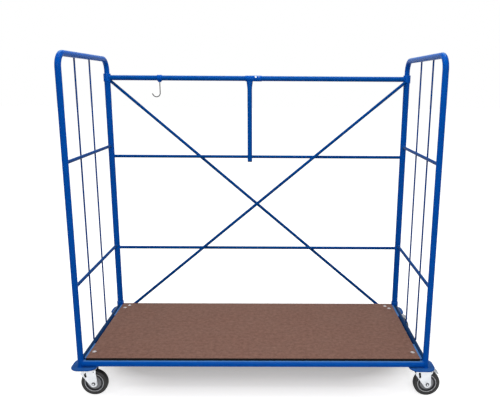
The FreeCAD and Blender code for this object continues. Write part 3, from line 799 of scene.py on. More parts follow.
# One finish for each slot of the record
finishes = {
    "blue_paint": blue_paint("blue_coat", rgb(0, 75, 166), rgb(2, 82, 176), painted_top_light=0.6, shine=0.03, sheen=0.6),
    "plywood": film_faced_ply(),
    "zinc": plain_finish(
        "bright_zinc_plate", rgb(236, 238, 241), rgb(222, 225, 230), metal=0.5, rough=(0.3, 0.44),
        scales=(22.0, 160.0, 300.0, 1400.0), bump=0.08, scuff_tone=rgb(200, 202, 206)),
    "black_rubber": plain_finish(
        "black_tyre_rubber", rgb(9, 9, 10), rgb(16, 15, 15), metal=0.0, rough=(0.55, 0.72),
        scales=(30.0, 220.0, 500.0, 1800.0), bump=0.2, scuff_tone=rgb(28, 27, 26),
        dust_tone=rgb(70, 67, 64), dust_amount=0.08),
    "grey_plastic": plain_finish(
        "grey_moulded_core", rgb(140, 141, 145), rgb(122, 123, 128), metal=0.0, rough=(0.42, 0.58),
        scales=(25.0, 240.0, 900.0, 2600.0), bump=0.12, scuff_tone=rgb(132, 132, 136),
        dust_tone=rgb(130, 128, 125), dust_amount=0.15),
    "pedal_plastic": plain_finish(
        "light_grey_pedal", rgb(208, 211, 214), rgb(190, 193, 198), metal=0.0, rough=(0.4, 0.55),
        scales=(40.0, 260.0, 800.0, 2400.0), bump=0.15, scuff_tone=rgb(160, 162, 165),
        dust_tone=rgb(150, 148, 142), dust_amount=0.25),
    "black_plastic": plain_finish(
        "black_end_plug", rgb(22, 22, 24), rgb(34, 34, 36), metal=0.0, rough=(0.4, 0.55),
        scales=(40.0, 260.0, 900.0, 2400.0), bump=0.15, scuff_tone=rgb(60, 60, 62),
        dust_tone=rgb(90, 88, 86), dust_amount=0.2),
    "wire": plain_finish(
        "grey_steel_wire", rgb(26, 26, 28), rgb(36, 36, 39), metal=0.2, rough=(0.4, 0.55),
        scales=(40.0, 300.0, 500.0, 1900.0), bump=0.2, scuff_tone=rgb(54, 54, 57)),
}

# Darker copies of the blue coat as painted shade, most with less of the painted top highlight: on the plates,
# on the rungs, rods and braces, on the top rail and the arm, and darkest on the side rails
# Painted shade: the corner plates take a darker copy of the coat with little top highlight.
plate_shaded_coat = blue_paint(
    "plate_blue_coat_painted_shade", rgb(0, 70, 150), rgb(2, 76, 158), painted_top_light=0.18, shine=0.02, sheen=0.1)
bar_shaded_coat = blue_paint(
    "bar_blue_coat_painted_shade", rgb(0, 61, 130), rgb(1, 66, 138), painted_top_light=0.12, shine=0.01, sheen=0.1)
# Painted shade: the top rail and the arm tube take a slightly darker copy of the coat.
rail_shaded_coat = blue_paint(
    "rail_blue_coat_painted_shade", rgb(0, 70, 148), rgb(2, 76, 158), painted_top_light=0.6, shine=0.03, sheen=0.6)
# Painted shade: the side rails take the darkest copy of the coat.
side_rail_shaded_coat = blue_paint(
    "side_rail_blue_coat_painted_shade", rgb(0, 42, 88), rgb(1, 47, 96), painted_top_light=0.05, shine=0.01, sheen=0.1)

# Second tones: painted shade inside the forks, in the wheel cores' recesses and round the axle ends, a
# painted highlight on the wheel cores' rims, and a duller zinc on the deck bolts
fork_inside_shade = plain_finish(
    "fork_inside_painted_shade", rgb(58, 59, 61), rgb(44, 45, 47), metal=0.2, rough=(0.5, 0.65),
    scales=(30.0, 220.0, 400.0, 1500.0), bump=0.15, scuff_tone=rgb(80, 80, 82))
recess_painted_shade = plain_finish(
    "core_recess_painted_shade", rgb(44, 44, 47), rgb(58, 58, 61), metal=0.0, rough=(0.5, 0.65),
    scales=(25.0, 240.0, 900.0, 2600.0), bump=0.12, scuff_tone=rgb(66, 66, 68),
    dust_tone=rgb(90, 88, 86), dust_amount=0.15)
rim_painted_highlight = plain_finish(
    "core_rim_painted_highlight", rgb(196, 197, 201), rgb(182, 183, 188), metal=0.0, rough=(0.35, 0.5),
    scales=(25.0, 240.0, 900.0, 2600.0), bump=0.08, scuff_tone=rgb(160, 160, 164),
    dust_tone=rgb(150, 148, 145), dust_amount=0.1)
axle_ring_shade = plain_finish(
    "axle_ring_painted_shade", rgb(104, 105, 108), rgb(86, 87, 90), metal=0.4, rough=(0.4, 0.55),
    scales=(40.0, 300.0, 500.0, 1900.0), bump=0.15, scuff_tone=rgb(130, 130, 132))
bolt_finish = plain_finish(
    "dull_bolt_zinc", rgb(204, 198, 199), rgb(186, 181, 183), metal=0.25, rough=(0.4, 0.55),
    scales=(60.0, 300.0, 500.0, 1900.0), bump=0.1, scuff_tone=rgb(168, 164, 166))


# The end frames and the back

def end_hoop(side):
    # One bent tube: up the front post, over the top and down into the rear sleeve.
    x = ENDS[side] * end_x
    shoulder = hoop_axis_top - hoop_bend
    piece = begin_ring(side + "_hoop", Vector((x, -post_y, plate_top)), UP, post_radius, tube_sides)
    draw_out(UP * (shoulder - plate_top))
    bend(-90, (x, -post_y + hoop_bend, shoulder), ALONG_X, hoop_bend_steps)
    draw_out(ALONG_Y * (2 * (post_y - hoop_bend)))
    bend(-90, (x, post_y - hoop_bend, shoulder), ALONG_X, hoop_bend_steps)
    draw_out(UP * (plate_top - shoulder))
    fit(close_up(piece), "blue_paint", "frame", side + "_end_hoop")


def straight_bar(node, axis, tone=None):
    # A round bar that fills a node's box along one axis.
    half = axis * (extent(node).dot(axis) / 2)
    bar = round_bar(node + "_bar", middle(node) - half, middle(node) + half, extent(node).z / 2)
    fit(bar, "blue_paint", "frame", node, tone=tone)


def upright_rods(side):
    node = side + "_upright_rods"
    low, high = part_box(node)
    rods = []
    for y in (low.y + upright_radius, high.y - upright_radius):
        foot = Vector((middle(node).x, y, low.z))
        rods.append(round_bar("rod", foot, foot + UP * (high.z - low.z), upright_radius, rod_sides))
    fit(joined(side + "_rods", rods), "blue_paint", "frame", node, tone=bar_shaded_coat)


def rear_sleeve(side):
    # Tube round the hoop's rear leg, ending in a thicker ring at the top rail.
    node = side + "_rail_sleeve"
    low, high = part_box(node)
    foot = Vector((ENDS[side] * end_x, post_y, low.z))
    ring = rail_ring_radius
    top = high.z - low.z
    step = top - rail_ring_height
    profile = [
        (0, rear_sleeve_radius),
        (step - ring_flare, rear_sleeve_radius),
        (step - soft_edge, rear_sleeve_radius + fine_edge),
        (step, ring - ring_low_edge),
        (step + ring_low_edge, ring),
        (top - ring_top_edge, ring),
        (top - fine_edge, ring - fine_edge),
        (top, ring - ring_top_edge),
        (top, post_radius),
    ]
    fit(turned(side + "_rear_sleeve", foot, UP, profile), "blue_paint", "frame", node)


def foot_collar(side):
    node = side + "_foot_collar"
    length = extent(node).z
    outer = foot_collar_radius
    collar = sleeve(side + "_collar", middle(node), UP, outer, rear_sleeve_radius, length, soft_edge)
    fit(collar, "blue_paint", "frame", node)


def brace(node, sign):
    y = middle(node).y
    corner = Vector((sign * end_x, y, top_rail_axis.z - brace_head_drop))
    foot = Vector((-sign * (end_x - brace_foot_inset[node]), y, base_axis))
    head = corner + (foot - corner).normalized() * brace_head_setback
    fit(round_bar(node + "_bar", head, foot, back_rod_radius), "blue_paint", "frame", node, tone=bar_shaded_coat)


def weld(place, axis, radius, size):
    # Fillet run round a bar where it meets another tube, thickest at the tube.
    profile = [(size * along, radius + size * out) for along, out in weld_section]
    return turned("weld", place, axis, profile, weld_sides)


def frame_welds():
    into_sleeve = rear_sleeve_radius - sleeve_weld_sink
    into_ring = rail_ring_radius - ring_weld_sink
    into_collar = foot_collar_radius - foot_weld_sink
    into_post = post_radius - post_weld_sink
    runs = []
    for sign in ENDS.values():
        x = sign * end_x
        for level in ("upper", "lower"):
            rung = middle("left_%s_rung" % level)
            front = Vector((x, -post_y + post_radius - rung_weld_sink, rung.z))
            rear = Vector((x, post_y - into_sleeve, rung.z))
            runs.append(weld(front, ALONG_Y, rung_radius, weld_size))
            runs.append(weld(rear, -ALONG_Y, rung_radius, weld_size))
        for node, radius, reach in (
                ("back_middle_rod", back_rod_radius, into_sleeve),
                ("back_lower_rod", back_rod_radius, into_sleeve),
                ("back_top_rail", top_rail_radius, into_ring),
                ("rear_base_rail", base_rail_radius, into_collar),
                ("front_base_rail", base_rail_radius, into_post)):
            rod = middle(node)
            place = Vector((sign * (end_x - reach), rod.y, rod.z))
            runs.append(weld(place, ALONG_X * -sign, radius, weld_size))
        for y, axis, reach in ((-post_y, ALONG_Y, into_post), (post_y, -ALONG_Y, into_collar)):
            place = Vector((x, y, base_axis)) + axis * reach
            runs.append(weld(place, axis, base_rail_radius, weld_size))
        runs.append(weld(Vector((x, -post_y, plate_top)), UP, post_radius, post_weld_size))
        runs.append(weld(Vector((x, post_y, plate_top)), UP, foot_collar_radius, collar_weld_size))
    fit(joined("frame_welds", runs), "blue_paint", "frame")


# The deck and the corner plates

def deck_bolt_places():
    places = []
    for sx, sy in CORNERS.values():
        for across, along in deck_bolt_insets["front" if sy < 0 else "rear"]:
            places.append(Vector((sx * (end_x - across * MM), sy * (post_y - along * MM), 0)))
    return places


def deck_panel():
    panel = flat_plate("deck_panel", deck_low, deck_high, deck_corner)
    soften(panel, small_edge)
    seat_profile = [(0, bolt_seat), (bolt_seat_cut, bolt_seat)]
    for place in deck_bolt_places():
        seat = turned("seat", place + UP * (deck_high.z - bolt_seat_depth), UP, seat_profile)
        cut_away(panel, seat)
    fit(panel, "plywood", "frame", "deck_board")


def deck_bolts():
    # Domed heads in their seats, and the nuts and bolt ends under the gussets.
    low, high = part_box("deck_bolts")
    seat = deck_high.z - bolt_seat_depth
    rise = high.z - seat
    ball = (bolt_head ** 2 + rise ** 2) / (2 * rise)
    nut_top = deck_low.z - gusset_thickness
    nut_profile = [(0, nut_radius), (nut_height, nut_radius)]
    dome = []
    for step in range(bolt_dome_rings):
        angle = math.asin(bolt_head / ball) * (1 - step / (bolt_dome_rings - 0.5))
        dome.append((ball * math.cos(angle) - ball + rise, ball * math.sin(angle)))
    bolts = []
    for place in deck_bolt_places():
        bolts.append(turned("head", place + UP * seat, UP, dome))
        nut = turned("nut", place + UP * (nut_top - nut_height), UP, nut_profile, hexagon)
        bolts.append(soften(nut, fine_edge))
        end = place + UP * low.z
        bolts.append(round_bar("end", end, end + UP * (nut_top - low.z), bolt_shank, rod_sides))
    fit(joined("deck_bolt_set", bolts), "zinc", "frame", "deck_bolts", tone=bolt_finish)


def deck_bearers():
    low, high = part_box("deck_bearers")
    side = high.z - low.z
    tubes = []
    for x in (low.x, high.x - side):
        let_go()
        place = Vector((x + side / 2, middle("deck_bearers").y, middle("deck_bearers").z))
        bpy.ops.mesh.primitive_cube_add(size=1, location=place)
        bpy.context.object.scale = (side, high.y - low.y, side)
        tube = begin_edit("bearer")
        pick(tube, "edges", lambda spot: abs(spot.y - place.y) < MM)
        bpy.ops.mesh.bevel(offset=bearer_corner, segments=4, affect="EDGES")
        tubes.append(close_up(tube))
    fit(joined("deck_bearer_tubes", tubes), "blue_paint", "frame", "deck_bearers")


def corner_plate(corner):
    node = corner + "_corner_plate"
    plate = flat_plate(corner + "_plate", *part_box(node), corner_plate_round)
    fit(soften(plate, soft_edge, 3), "blue_paint", "frame", node, tone=plate_shaded_coat)


# The swinging arm, its stop and the hook on the top rail

def arm_bar(pivot, down, radius):
    # The neck starts as an oval as wide as the collar allows and eases into the round tube.
    wide = arm_neck_width / (2 * radius)
    deep = arm_neck_depth / (2 * radius)
    reached = arm_neck_start
    tube = begin_ring("arm_bar", pivot + down * reached, down, radius, tube_sides)
    stretch((wide, deep, deep), pivot + down * reached)
    before = (wide, deep)
    for step in range(1, arm_neck_steps + 1):
        share = step / arm_neck_steps
        ease = share * share * (3 - 2 * share)
        after = (wide + (1 - wide) * ease, deep + (1 - deep) * ease)
        onward = arm_neck_start + (arm_neck_length - arm_neck_start) * share
        draw_out(down * (onward - reached))
        ratio_x = after[0] / before[0]
        ratio_y = after[1] / before[1]
        stretch((ratio_x, ratio_y, ratio_y), pivot + down * onward)
        reached = onward
        before = after
    draw_out(down * (arm_reach - arm_cap_flange - reached))
    return close_up(tube)


def arm_plug(pivot, down, radius):
    flange = arm_cap_flange
    profile = [
        (-arm_plug_length, radius - arm_plug_inset),
        (0, radius - arm_plug_inset),
        (0, radius),
        (flange - arm_plug_edge, radius),
        (flange - fine_edge, radius - arm_plug_ease),
        (flange, radius - arm_plug_edge),
        (flange, arm_plug_dimple),
    ]
    return turned("arm_plug", pivot + down * (arm_reach - flange), down, profile)


def weld_under_collar(pivot, down):
    # Oval run of weld where the flattened neck meets the collar.
    place = pivot + down * (extent("arm_sleeve").y / 2 - arm_weld_sink)
    run = weld(place, down, arm_neck_width / 2, arm_weld_size)
    open_edit(run)
    stretch((1, arm_neck_depth / arm_neck_width, 1), place)
    close_edit()
    run.name = "arm_weld"
    return run


def swinging_arm():
    pivot = middle("arm_sleeve")
    down = (middle("arm_end_cap") - pivot).normalized()
    radius = extent("arm_end_cap").x / 2
    outer = extent("arm_sleeve").y / 2
    bore = top_rail_radius + running_clearance
    collar = sleeve("arm_collar", pivot, ALONG_X, outer, bore, extent("arm_sleeve").x, small_edge)
    fit(collar, "blue_paint", "arm", "arm_sleeve")
    fit(arm_bar(pivot, down, radius), "blue_paint", "arm", "arm_tube", tone=rail_shaded_coat)
    fit(arm_plug(pivot, down, radius), "black_plastic", "arm", "arm_end_cap")
    fit(weld_under_collar(pivot, down), "blue_paint", "arm")


def stop_collar():
    node = "arm_stop_collar"
    outer = extent(node).z / 2
    collar = sleeve("stop_collar", middle(node), ALONG_X, outer, top_rail_radius, extent(node).x, small_edge)
    fit(collar, "blue_paint", "frame", node)
    towards = stop_screw_side.normalized()
    screws = []
    for shift, radius in stop_screws:
        place = middle(node) + ALONG_X * shift + towards * (outer - stop_screw_sink)
        profile = [(height, radius * share) for height, share in stop_screw_head]
        screws.append(turned("screw", place, towards, profile, pin_sides))
    fit(joined("stop_collar_screws", screws), "zinc", "frame")


def hook_pivot():
    return Vector((middle("hook_collar").x, post_y, top_rail_axis.z))


def hook_collar():
    node = "hook_collar"
    low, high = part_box(node)
    half = (high.x - low.x) / 2
    outer = high.z - top_rail_axis.z
    rounding = hook_collar_round
    profile = [(-half, top_rail_radius)]
    for step in range(hook_collar_arc_steps + 1):
        turn = math.radians(90 / hook_collar_arc_steps * step)
        profile.append((-half + rounding * (1 - math.cos(turn)), outer - rounding * (1 - math.sin(turn))))
    profile += [(-along, radius) for along, radius in reversed(profile)]
    bead = turned("hook_bead", hook_pivot(), ALONG_X, profile)
    drop = top_rail_axis.z - low.z
    boss_profile = [
        (hook_boss_start, hook_boss),
        (drop - hook_boss_edge, hook_boss),
        (drop - fine_edge, hook_boss - fine_edge),
        (drop, hook_boss - hook_boss_edge),
        (drop, hook_boss_bore),
    ]
    boss = turned("hook_boss", hook_pivot(), -UP, boss_profile)
    fit(joined("hook_holder", [bead, boss]), "blue_paint", "frame", node)


def wire_hook():
    start = hook_pivot() - UP * hook_start
    bend_centre = hook_pivot() - UP * hook_drop - ALONG_X * hook_bend
    wire = begin_ring("hook_wire", start, -UP, hook_wire, rod_sides)
    draw_out(-UP * (start.z - bend_centre.z))
    bend(180 - hook_flare, bend_centre, ALONG_Y, hook_bend_steps)
    sweep = math.radians(180 - hook_flare)
    onward = Vector((-math.sin(sweep), 0, -math.cos(sweep)))
    tip = bend_centre + Vector((math.cos(sweep), 0, -math.sin(sweep))) * hook_bend
    reached = hook_tip
    draw_out(onward * reached)
    radius = hook_wire
    for step in range(1, hook_tip_rings + 1):
        turn = math.radians(hook_tip_turn * step)
        next_reach = hook_tip + hook_wire * math.sin(turn)
        draw_out(onward * (next_reach - reached))
        widen(hook_wire * math.cos(turn) / radius, tip + onward * next_reach)
        reached, radius = next_reach, hook_wire * math.cos(turn)
    fit(close_up(wire), "wire", "hook", "hook")


# The casters, each piece modelled once with its kingpin at the origin

def axle():
    return Vector((caster_trail, 0, axle_height))


def touch_angle(point, turn):
    # Where a line from point touches the round end of the fork's leg.
    reach = point - axle()
    return math.atan2(reach.z, reach.x) + turn * math.acos(fork_apex / reach.length)


def round_axle(angle):
    return Vector((math.cos(angle), 0, math.sin(angle)))


def fork_lead_corner():
    return Vector((-fork_lead, 0, fork_crown - fork_lead_drop))


def fork_angles():
    lead = touch_angle(fork_lead_corner(), 1)
    tail = touch_angle(Vector((fork_tail, 0, fork_crown)), -1)
    return lead, tail + 2 * math.pi


def trim_braked_tail(fork, tail, tail_face):
    # The tail keeps a lug for the pedal's pin: straight at the top, sloping back to the leg below.
    lug_low = fork_crown - brake_lug_height
    lug_root = lug_low - brake_lug_reach
    for height in (lug_low, lug_root):
        select_all()
        bpy.ops.mesh.bisect(plane_co=(0, 0, height), plane_no=tuple(UP))
    pick(fork, "polygons", lambda spot: spot.z < lug_root)
    bpy.ops.mesh.split()
    trim(axle() + tail_face * fork_apex, tail_face, False)
    root_x = caster_trail + (fork_apex - (lug_root - axle_height) * tail_face.z) / tail_face.x
    slope = Vector((tail - root_x, 0, lug_low - lug_root))
    pick(fork, "polygons", lambda spot: lug_root < spot.z < lug_low)
    bpy.ops.mesh.split()
    trim(Vector((tail, 0, lug_low)), Vector((slope.z, 0, -slope.x)).normalized(), False)


def round_lead_corners():
    # Short flats take the place of the crown's two leading corners.
    for sign in (-1, 1):
        centre = Vector((-fork_lead + fork_corner, sign * (fork_outer - fork_corner), 0))
        for turn in fork_corner_turns:
            outwards = Vector((-math.cos(math.radians(turn)), sign * math.sin(math.radians(turn)), 0))
            trim(centre + outwards * fork_corner, outwards)


def pressed_fork(braked):
    # A crown with two legs folded down, trimmed to the leg's side view and given its sheet thickness.
    tail = fork_tail + (brake_lug_reach if braked else 0)
    let_go()
    bpy.ops.mesh.primitive_plane_add(size=1, location=((tail - fork_lead) / 2, 0, fork_crown))
    bpy.context.object.scale = (tail + fork_lead, 2 * fork_outer, 1)
    fork = begin_edit("fork")
    pick(fork, "edges", lambda spot: abs(spot.y) > fork_outer - MM)
    draw_out(UP * (axle_height - fork_apex - fork_crown))
    pick(fork, "edges", lambda spot: abs(spot.y) > fork_outer - MM and spot.z > fork_crown - MM)
    bpy.ops.mesh.bevel(offset=fork_fold, segments=5, affect="EDGES")

    lead_angle, tail_angle = fork_angles()
    for step in range(fork_apex_steps):
        outwards = round_axle(lead_angle + (tail_angle - lead_angle) * step / fork_apex_steps)
        trim(axle() + outwards * fork_apex, outwards)
    tail_face = round_axle(tail_angle)
    if braked:
        trim_braked_tail(fork, tail, tail_face)
    else:
        trim(axle() + tail_face * fork_apex, tail_face)
    round_lead_corners()
    select_all()
    bpy.ops.mesh.remove_doubles(threshold=fork_merge_reach)
    bpy.ops.mesh.normals_make_consistent(inside=False)
    close_edit()
    crown_face = max(fork.data.polygons, key=lambda face: face.center.z)
    if crown_face.normal.z < 0:
        open_edit(fork)
        bpy.ops.mesh.flip_normals()
        close_edit()
    give_wall(fork, fork_sheet)
    cut_away(fork, fork_slot())
    if not braked:
        hole = Vector((caster_trail + fork_hole_ahead, -fork_cut_reach, fork_hole_height))
        hole_profile = [(0, fork_hole_radius), (2 * fork_cut_reach, fork_hole_radius)]
        cut_away(fork, turned("hole", hole, ALONG_Y, hole_profile, rod_sides))
    return soften(fork, fine_edge, 2, fork_crease)


def fork_slot():
    # Round-ended bar that cuts the nearly upright slot through both legs.
    tilt = math.radians(fork_slot_tilt)
    along = Vector((math.sin(tilt), 0, -math.cos(tilt)))
    centre = Vector((-fork_slot_lead, 0, axle_height + fork_slot_rise))
    half = along * (fork_slot_length / 2 - fork_slot_radius)
    nearly_level = MM / 100
    slot = begin_ring("slot", centre - ALONG_Y * fork_cut_reach, ALONG_Y, fork_slot_radius, pin_sides)
    pick(slot, "vertices", lambda spot: (spot - centre).dot(along) > nearly_level)
    bpy.ops.transform.translate(value=tuple(half))
    pick(slot, "vertices", lambda spot: (spot - centre).dot(along) < nearly_level)
    bpy.ops.transform.translate(value=tuple(-half))
    select_all()
    draw_out(ALONG_Y * 2 * fork_cut_reach)
    return close_up(slot)


def rolled_edge(sign):
    # Bead along a leg's edge: down the leading slope, round the axle and up the tail.
    lead_angle, tail_angle = fork_angles()
    inset = fork_apex - fork_bead * bead_seat
    side = ALONG_Y * sign * (fork_outer + fork_rim - fork_bead)
    outwards = round_axle(lead_angle)
    along = Vector((-outwards.z, 0, outwards.x))
    run = (axle() + outwards * fork_apex - fork_lead_corner()).length - bead_lead_gap
    touch = axle() + outwards * inset + side
    bead = begin_ring("bead", touch - along * run, along, fork_bead * bead_point, bead_sides)
    draw_out(along * bead_taper)
    widen(1 / bead_point, touch - along * (run - bead_taper))
    draw_out(along * (run - bead_taper))
    bend(math.degrees(tail_angle - lead_angle), axle() + side, -ALONG_Y, bead_bend_steps)
    outwards = round_axle(tail_angle)
    along = Vector((-outwards.z, 0, outwards.x))
    touch = axle() + outwards * inset + side
    draw_out(along * bead_tail_run)
    draw_out(along * bead_taper)
    widen(bead_point, touch + along * (bead_tail_run + bead_taper))
    return close_up(bead)


def swivel_race():
    low = fork_crown - race_sink
    top = race_top - low
    profile = [
        (0, race_radius + race_flange),
        (race_flange_height, race_radius + race_flange),
        (race_flange_slope, race_radius),
        (top - bar_edge, race_radius),
        (top, race_radius - bar_edge),
        (top, race_bore),
    ]
    return turned("race", UP * low, UP, profile, tube_sides)


def caster_plate():
    # Top plate with the skirt round the race.
    low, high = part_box("front_left_caster_plate")
    half = Vector((high.x - low.x, high.y - low.y, 0)) / 2
    plate = flat_plate("plate", UP * caster_plate_low - half, UP * high.z + half, caster_plate_corner)
    soften(plate, fine_edge)
    depth = caster_plate_low - low.z
    bore = race_radius + race_gap
    profile = [
        (0, bore),
        (0, skirt_radius - soft_edge),
        (soft_edge, skirt_radius),
        (depth - skirt_flare, skirt_radius),
        (depth, skirt_radius + skirt_flare),
        (depth, bore),
        (0, bore),
    ]
    return joined("plate", [plate, turned("skirt", UP * low.z, UP, profile)])


def plate_bolts(place):
    head_profile = [
        (0, nut_radius),
        (caster_bolt_head - small_edge, nut_radius),
        (caster_bolt_head, nut_radius * caster_bolt_point),
    ]
    bolts = []
    for sx, sy in CORNERS.values():
        spot = place + Vector((sx * caster_hole.x, sy * caster_hole.y, caster_plate_low))
        bolts.append(turned("head", spot, -UP, head_profile, hexagon))
        bolts.append(round_bar("shank", spot, spot + UP * caster_bolt_shank, bolt_shank, shank_sides))
    return bolts


def tyre():
    # Flat-sided rubber tyre with rounded shoulders and a slightly crowned tread.
    half = tyre_half
    bead_rise, wall_rise, shoulder_rise = tyre_side_rise
    profile = [
        (-rim_half, rim_radius - fine_edge),
        (-half + small_edge, rim_radius + bead_rise),
        (-half, rim_radius + wall_rise),
        (-half + tyre_side_ease, rim_radius + shoulder_rise),
    ]
    for step in range(tyre_arc_steps + 1):
        turn = math.radians(90 * step / tyre_arc_steps)
        along = -half + tyre_shoulder * (1 - math.cos(turn))
        profile.append((along, wheel_radius - tyre_shoulder * (1 - math.sin(turn)) - tyre_crown))
    profile.append((0, wheel_radius))
    profile += [(-along, radius) for along, radius in reversed(profile[:-1])]
    profile.append(profile[0])
    return turned("tyre", axle(), ALONG_Y, profile, tyre_sides)


def wheel_core():
    # Moulded core: hub boss, hub disc with a ring groove, sunk web and rim flange, the same on both sides.
    one_side = [
        (hub_half, axle_bush),
        (hub_half, boss_radius - boss_edge),
        (hub_half - boss_edge, boss_radius),
        (disc_half, disc_in),
        (disc_half, groove_in),
        (disc_half - groove_depth, groove_in + groove_slope),
        (disc_half - groove_depth, groove_out - groove_slope),
        (disc_half, groove_out),
        (disc_half, disc_out),
        (disc_half - disc_edge, recess_in),
        (web_half, recess_in + recess_slope),
        (web_half, recess_out - recess_slope),
        (rim_half - small_edge, recess_out),
        (rim_half, recess_out + small_edge),
        (rim_half, rim_radius - fine_edge),
        (rim_half - rim_edge, rim_radius),
    ]
    profile = [(-along, radius) for along, radius in one_side] + list(reversed(one_side))
    return turned("core", axle(), ALONG_Y, profile, core_sides)


def axle_bolt():
    # Washers and nuts on both ends of the axle, with the rounded bolt ends standing a little proud.
    washer = [
        (0, washer_radius),
        (washer_face, washer_radius),
        (washer_top, washer_radius - bar_edge),
        (washer_top, bolt_shank),
    ]
    nut = [
        (washer_face, nut_radius),
        (axle_nut_shoulder, nut_radius),
        (axle_nut_top, nut_radius * axle_nut_point),
    ]
    end = [
        (axle_end_start, bolt_shank),
        (axle_end_shoulder, bolt_shank),
        (axle_end_top, bolt_shank * axle_end_point),
    ]
    pieces = []
    for out in (-ALONG_Y, ALONG_Y):
        place = axle() + out * fork_outer
        pieces.append(turned("washer", place, out, washer))
        pieces.append(turned("nut", place, out, nut, hexagon))
        pieces.append(turned("end", place, out, end, rod_sides))
    bush = [(-fork_outer, axle_bush), (fork_outer, axle_bush)]
    pieces.append(turned("bush", axle(), ALONG_Y, bush, pin_sides))
    return joined("axle", pieces)


def pedal_pin(place):
    head_out = fork_outer + pedal_pin_proud
    head_in = fork_outer - pedal_pin_sunk
    half = [(head_in, pedal_pin_radius), (head_in, pedal_pin_head), (head_out, pedal_pin_head)]
    profile = [(-along, radius) for along, radius in reversed(half)] + half
    return turned("pin", place, ALONG_Y, profile, pin_sides)


def pedal_pad(knee):
    # Foot pad with raised ribs across it.
    low = knee + Vector((0, -pedal_pad_width / 2, -pedal_sheet / 2))
    high = low + Vector((pedal_pad_length, pedal_pad_width, pedal_pad_thickness - pedal_rib_height))
    pads = [soften(flat_plate("pad", low, high, pedal_pad_corner), pedal_pad_edge)]
    for count in range(pedal_ribs):
        x = low.x + pedal_rib_start + pedal_rib_step * count
        rib_low = Vector((x, low.y + pedal_rib_inset, high.z - fine_edge))
        rib_high = Vector((x + pedal_rib_width, high.y - pedal_rib_inset, high.z + pedal_rib_height))
        pads.append(soften(flat_plate("rib", rib_low, rib_high, pedal_rib_corner), pedal_rib_edge))
    pad = joined("pad", pads)
    tilt_about(pad, knee, pedal_slope)
    return pad


def pedal_shoe(knee):
    # Block under the pad, hollowed to follow the tread.
    low = knee + Vector((pedal_shoe_start, -pedal_width / 2, -pedal_shoe_low))
    high = knee + Vector((pedal_shoe_end, pedal_width / 2, -pedal_shoe_top))
    shoe = flat_plate("shoe", low, high, pedal_corner)
    tilt_about(shoe, knee, pedal_slope * pedal_shoe_tilt)
    clear_radius = wheel_radius + pedal_shoe_gap
    tread_profile = [(-pedal_tread_half, clear_radius), (pedal_tread_half, clear_radius)]
    cut_away(shoe, turned("tread", axle(), ALONG_Y, tread_profile, pedal_tread_sides))
    return soften(shoe, fine_edge)


def brake_pedal():
    # Pin through the fork, a folded link, a ribbed foot pad and the shoe over the tread.
    pin = axle() + Vector((pedal_pin_ahead, 0, pedal_pin_rise))
    knee = pin + Vector((pedal_knee_ahead, 0, pedal_knee_rise))
    half = Vector((0, pedal_width / 2, pedal_sheet / 2))
    link_start = pin - ALONG_X * pedal_link_overlap
    link_end = Vector((knee.x + pedal_link_overlap, 0, pin.z))
    pieces = [pedal_pin(pin)]
    link = soften(flat_plate("link", link_start - half, link_end + half, pedal_corner), bar_edge)
    tilt_about(link, pin, -math.degrees(math.atan2(pedal_knee_rise, pedal_knee_ahead)))
    pieces += [link, pedal_pad(knee), pedal_shoe(knee)]
    return joined("pedal", pieces)


def shade_fork_inside(fork, shift):
    # The faces of the legs that look at the wheel take a dark grey tone, a painted shade.
    fork.data.materials.append(fork_inside_shade)
    for face in fork.data.polygons:
        side = face.center.y - shift.y
        looks_in = face.normal.y * side < 0 and abs(face.normal.y) > inward_look
        if abs(side) < fork_outer - fork_sheet / 2 and looks_in:
            face.material_index = 1


def tone_ring(piece, tone, shift, inner, outer):
    # Gives the faces in a ring round the axle a tone of their own.
    piece.data.materials.append(tone)
    centre = axle() + shift
    for face in piece.data.polygons:
        corners = [piece.data.vertices[index].co - centre for index in face.vertices]
        radius = sum(math.hypot(corner.x, corner.z) for corner in corners) / len(corners)
        if inner < radius < outer:
            face.material_index = len(piece.data.materials) - 1


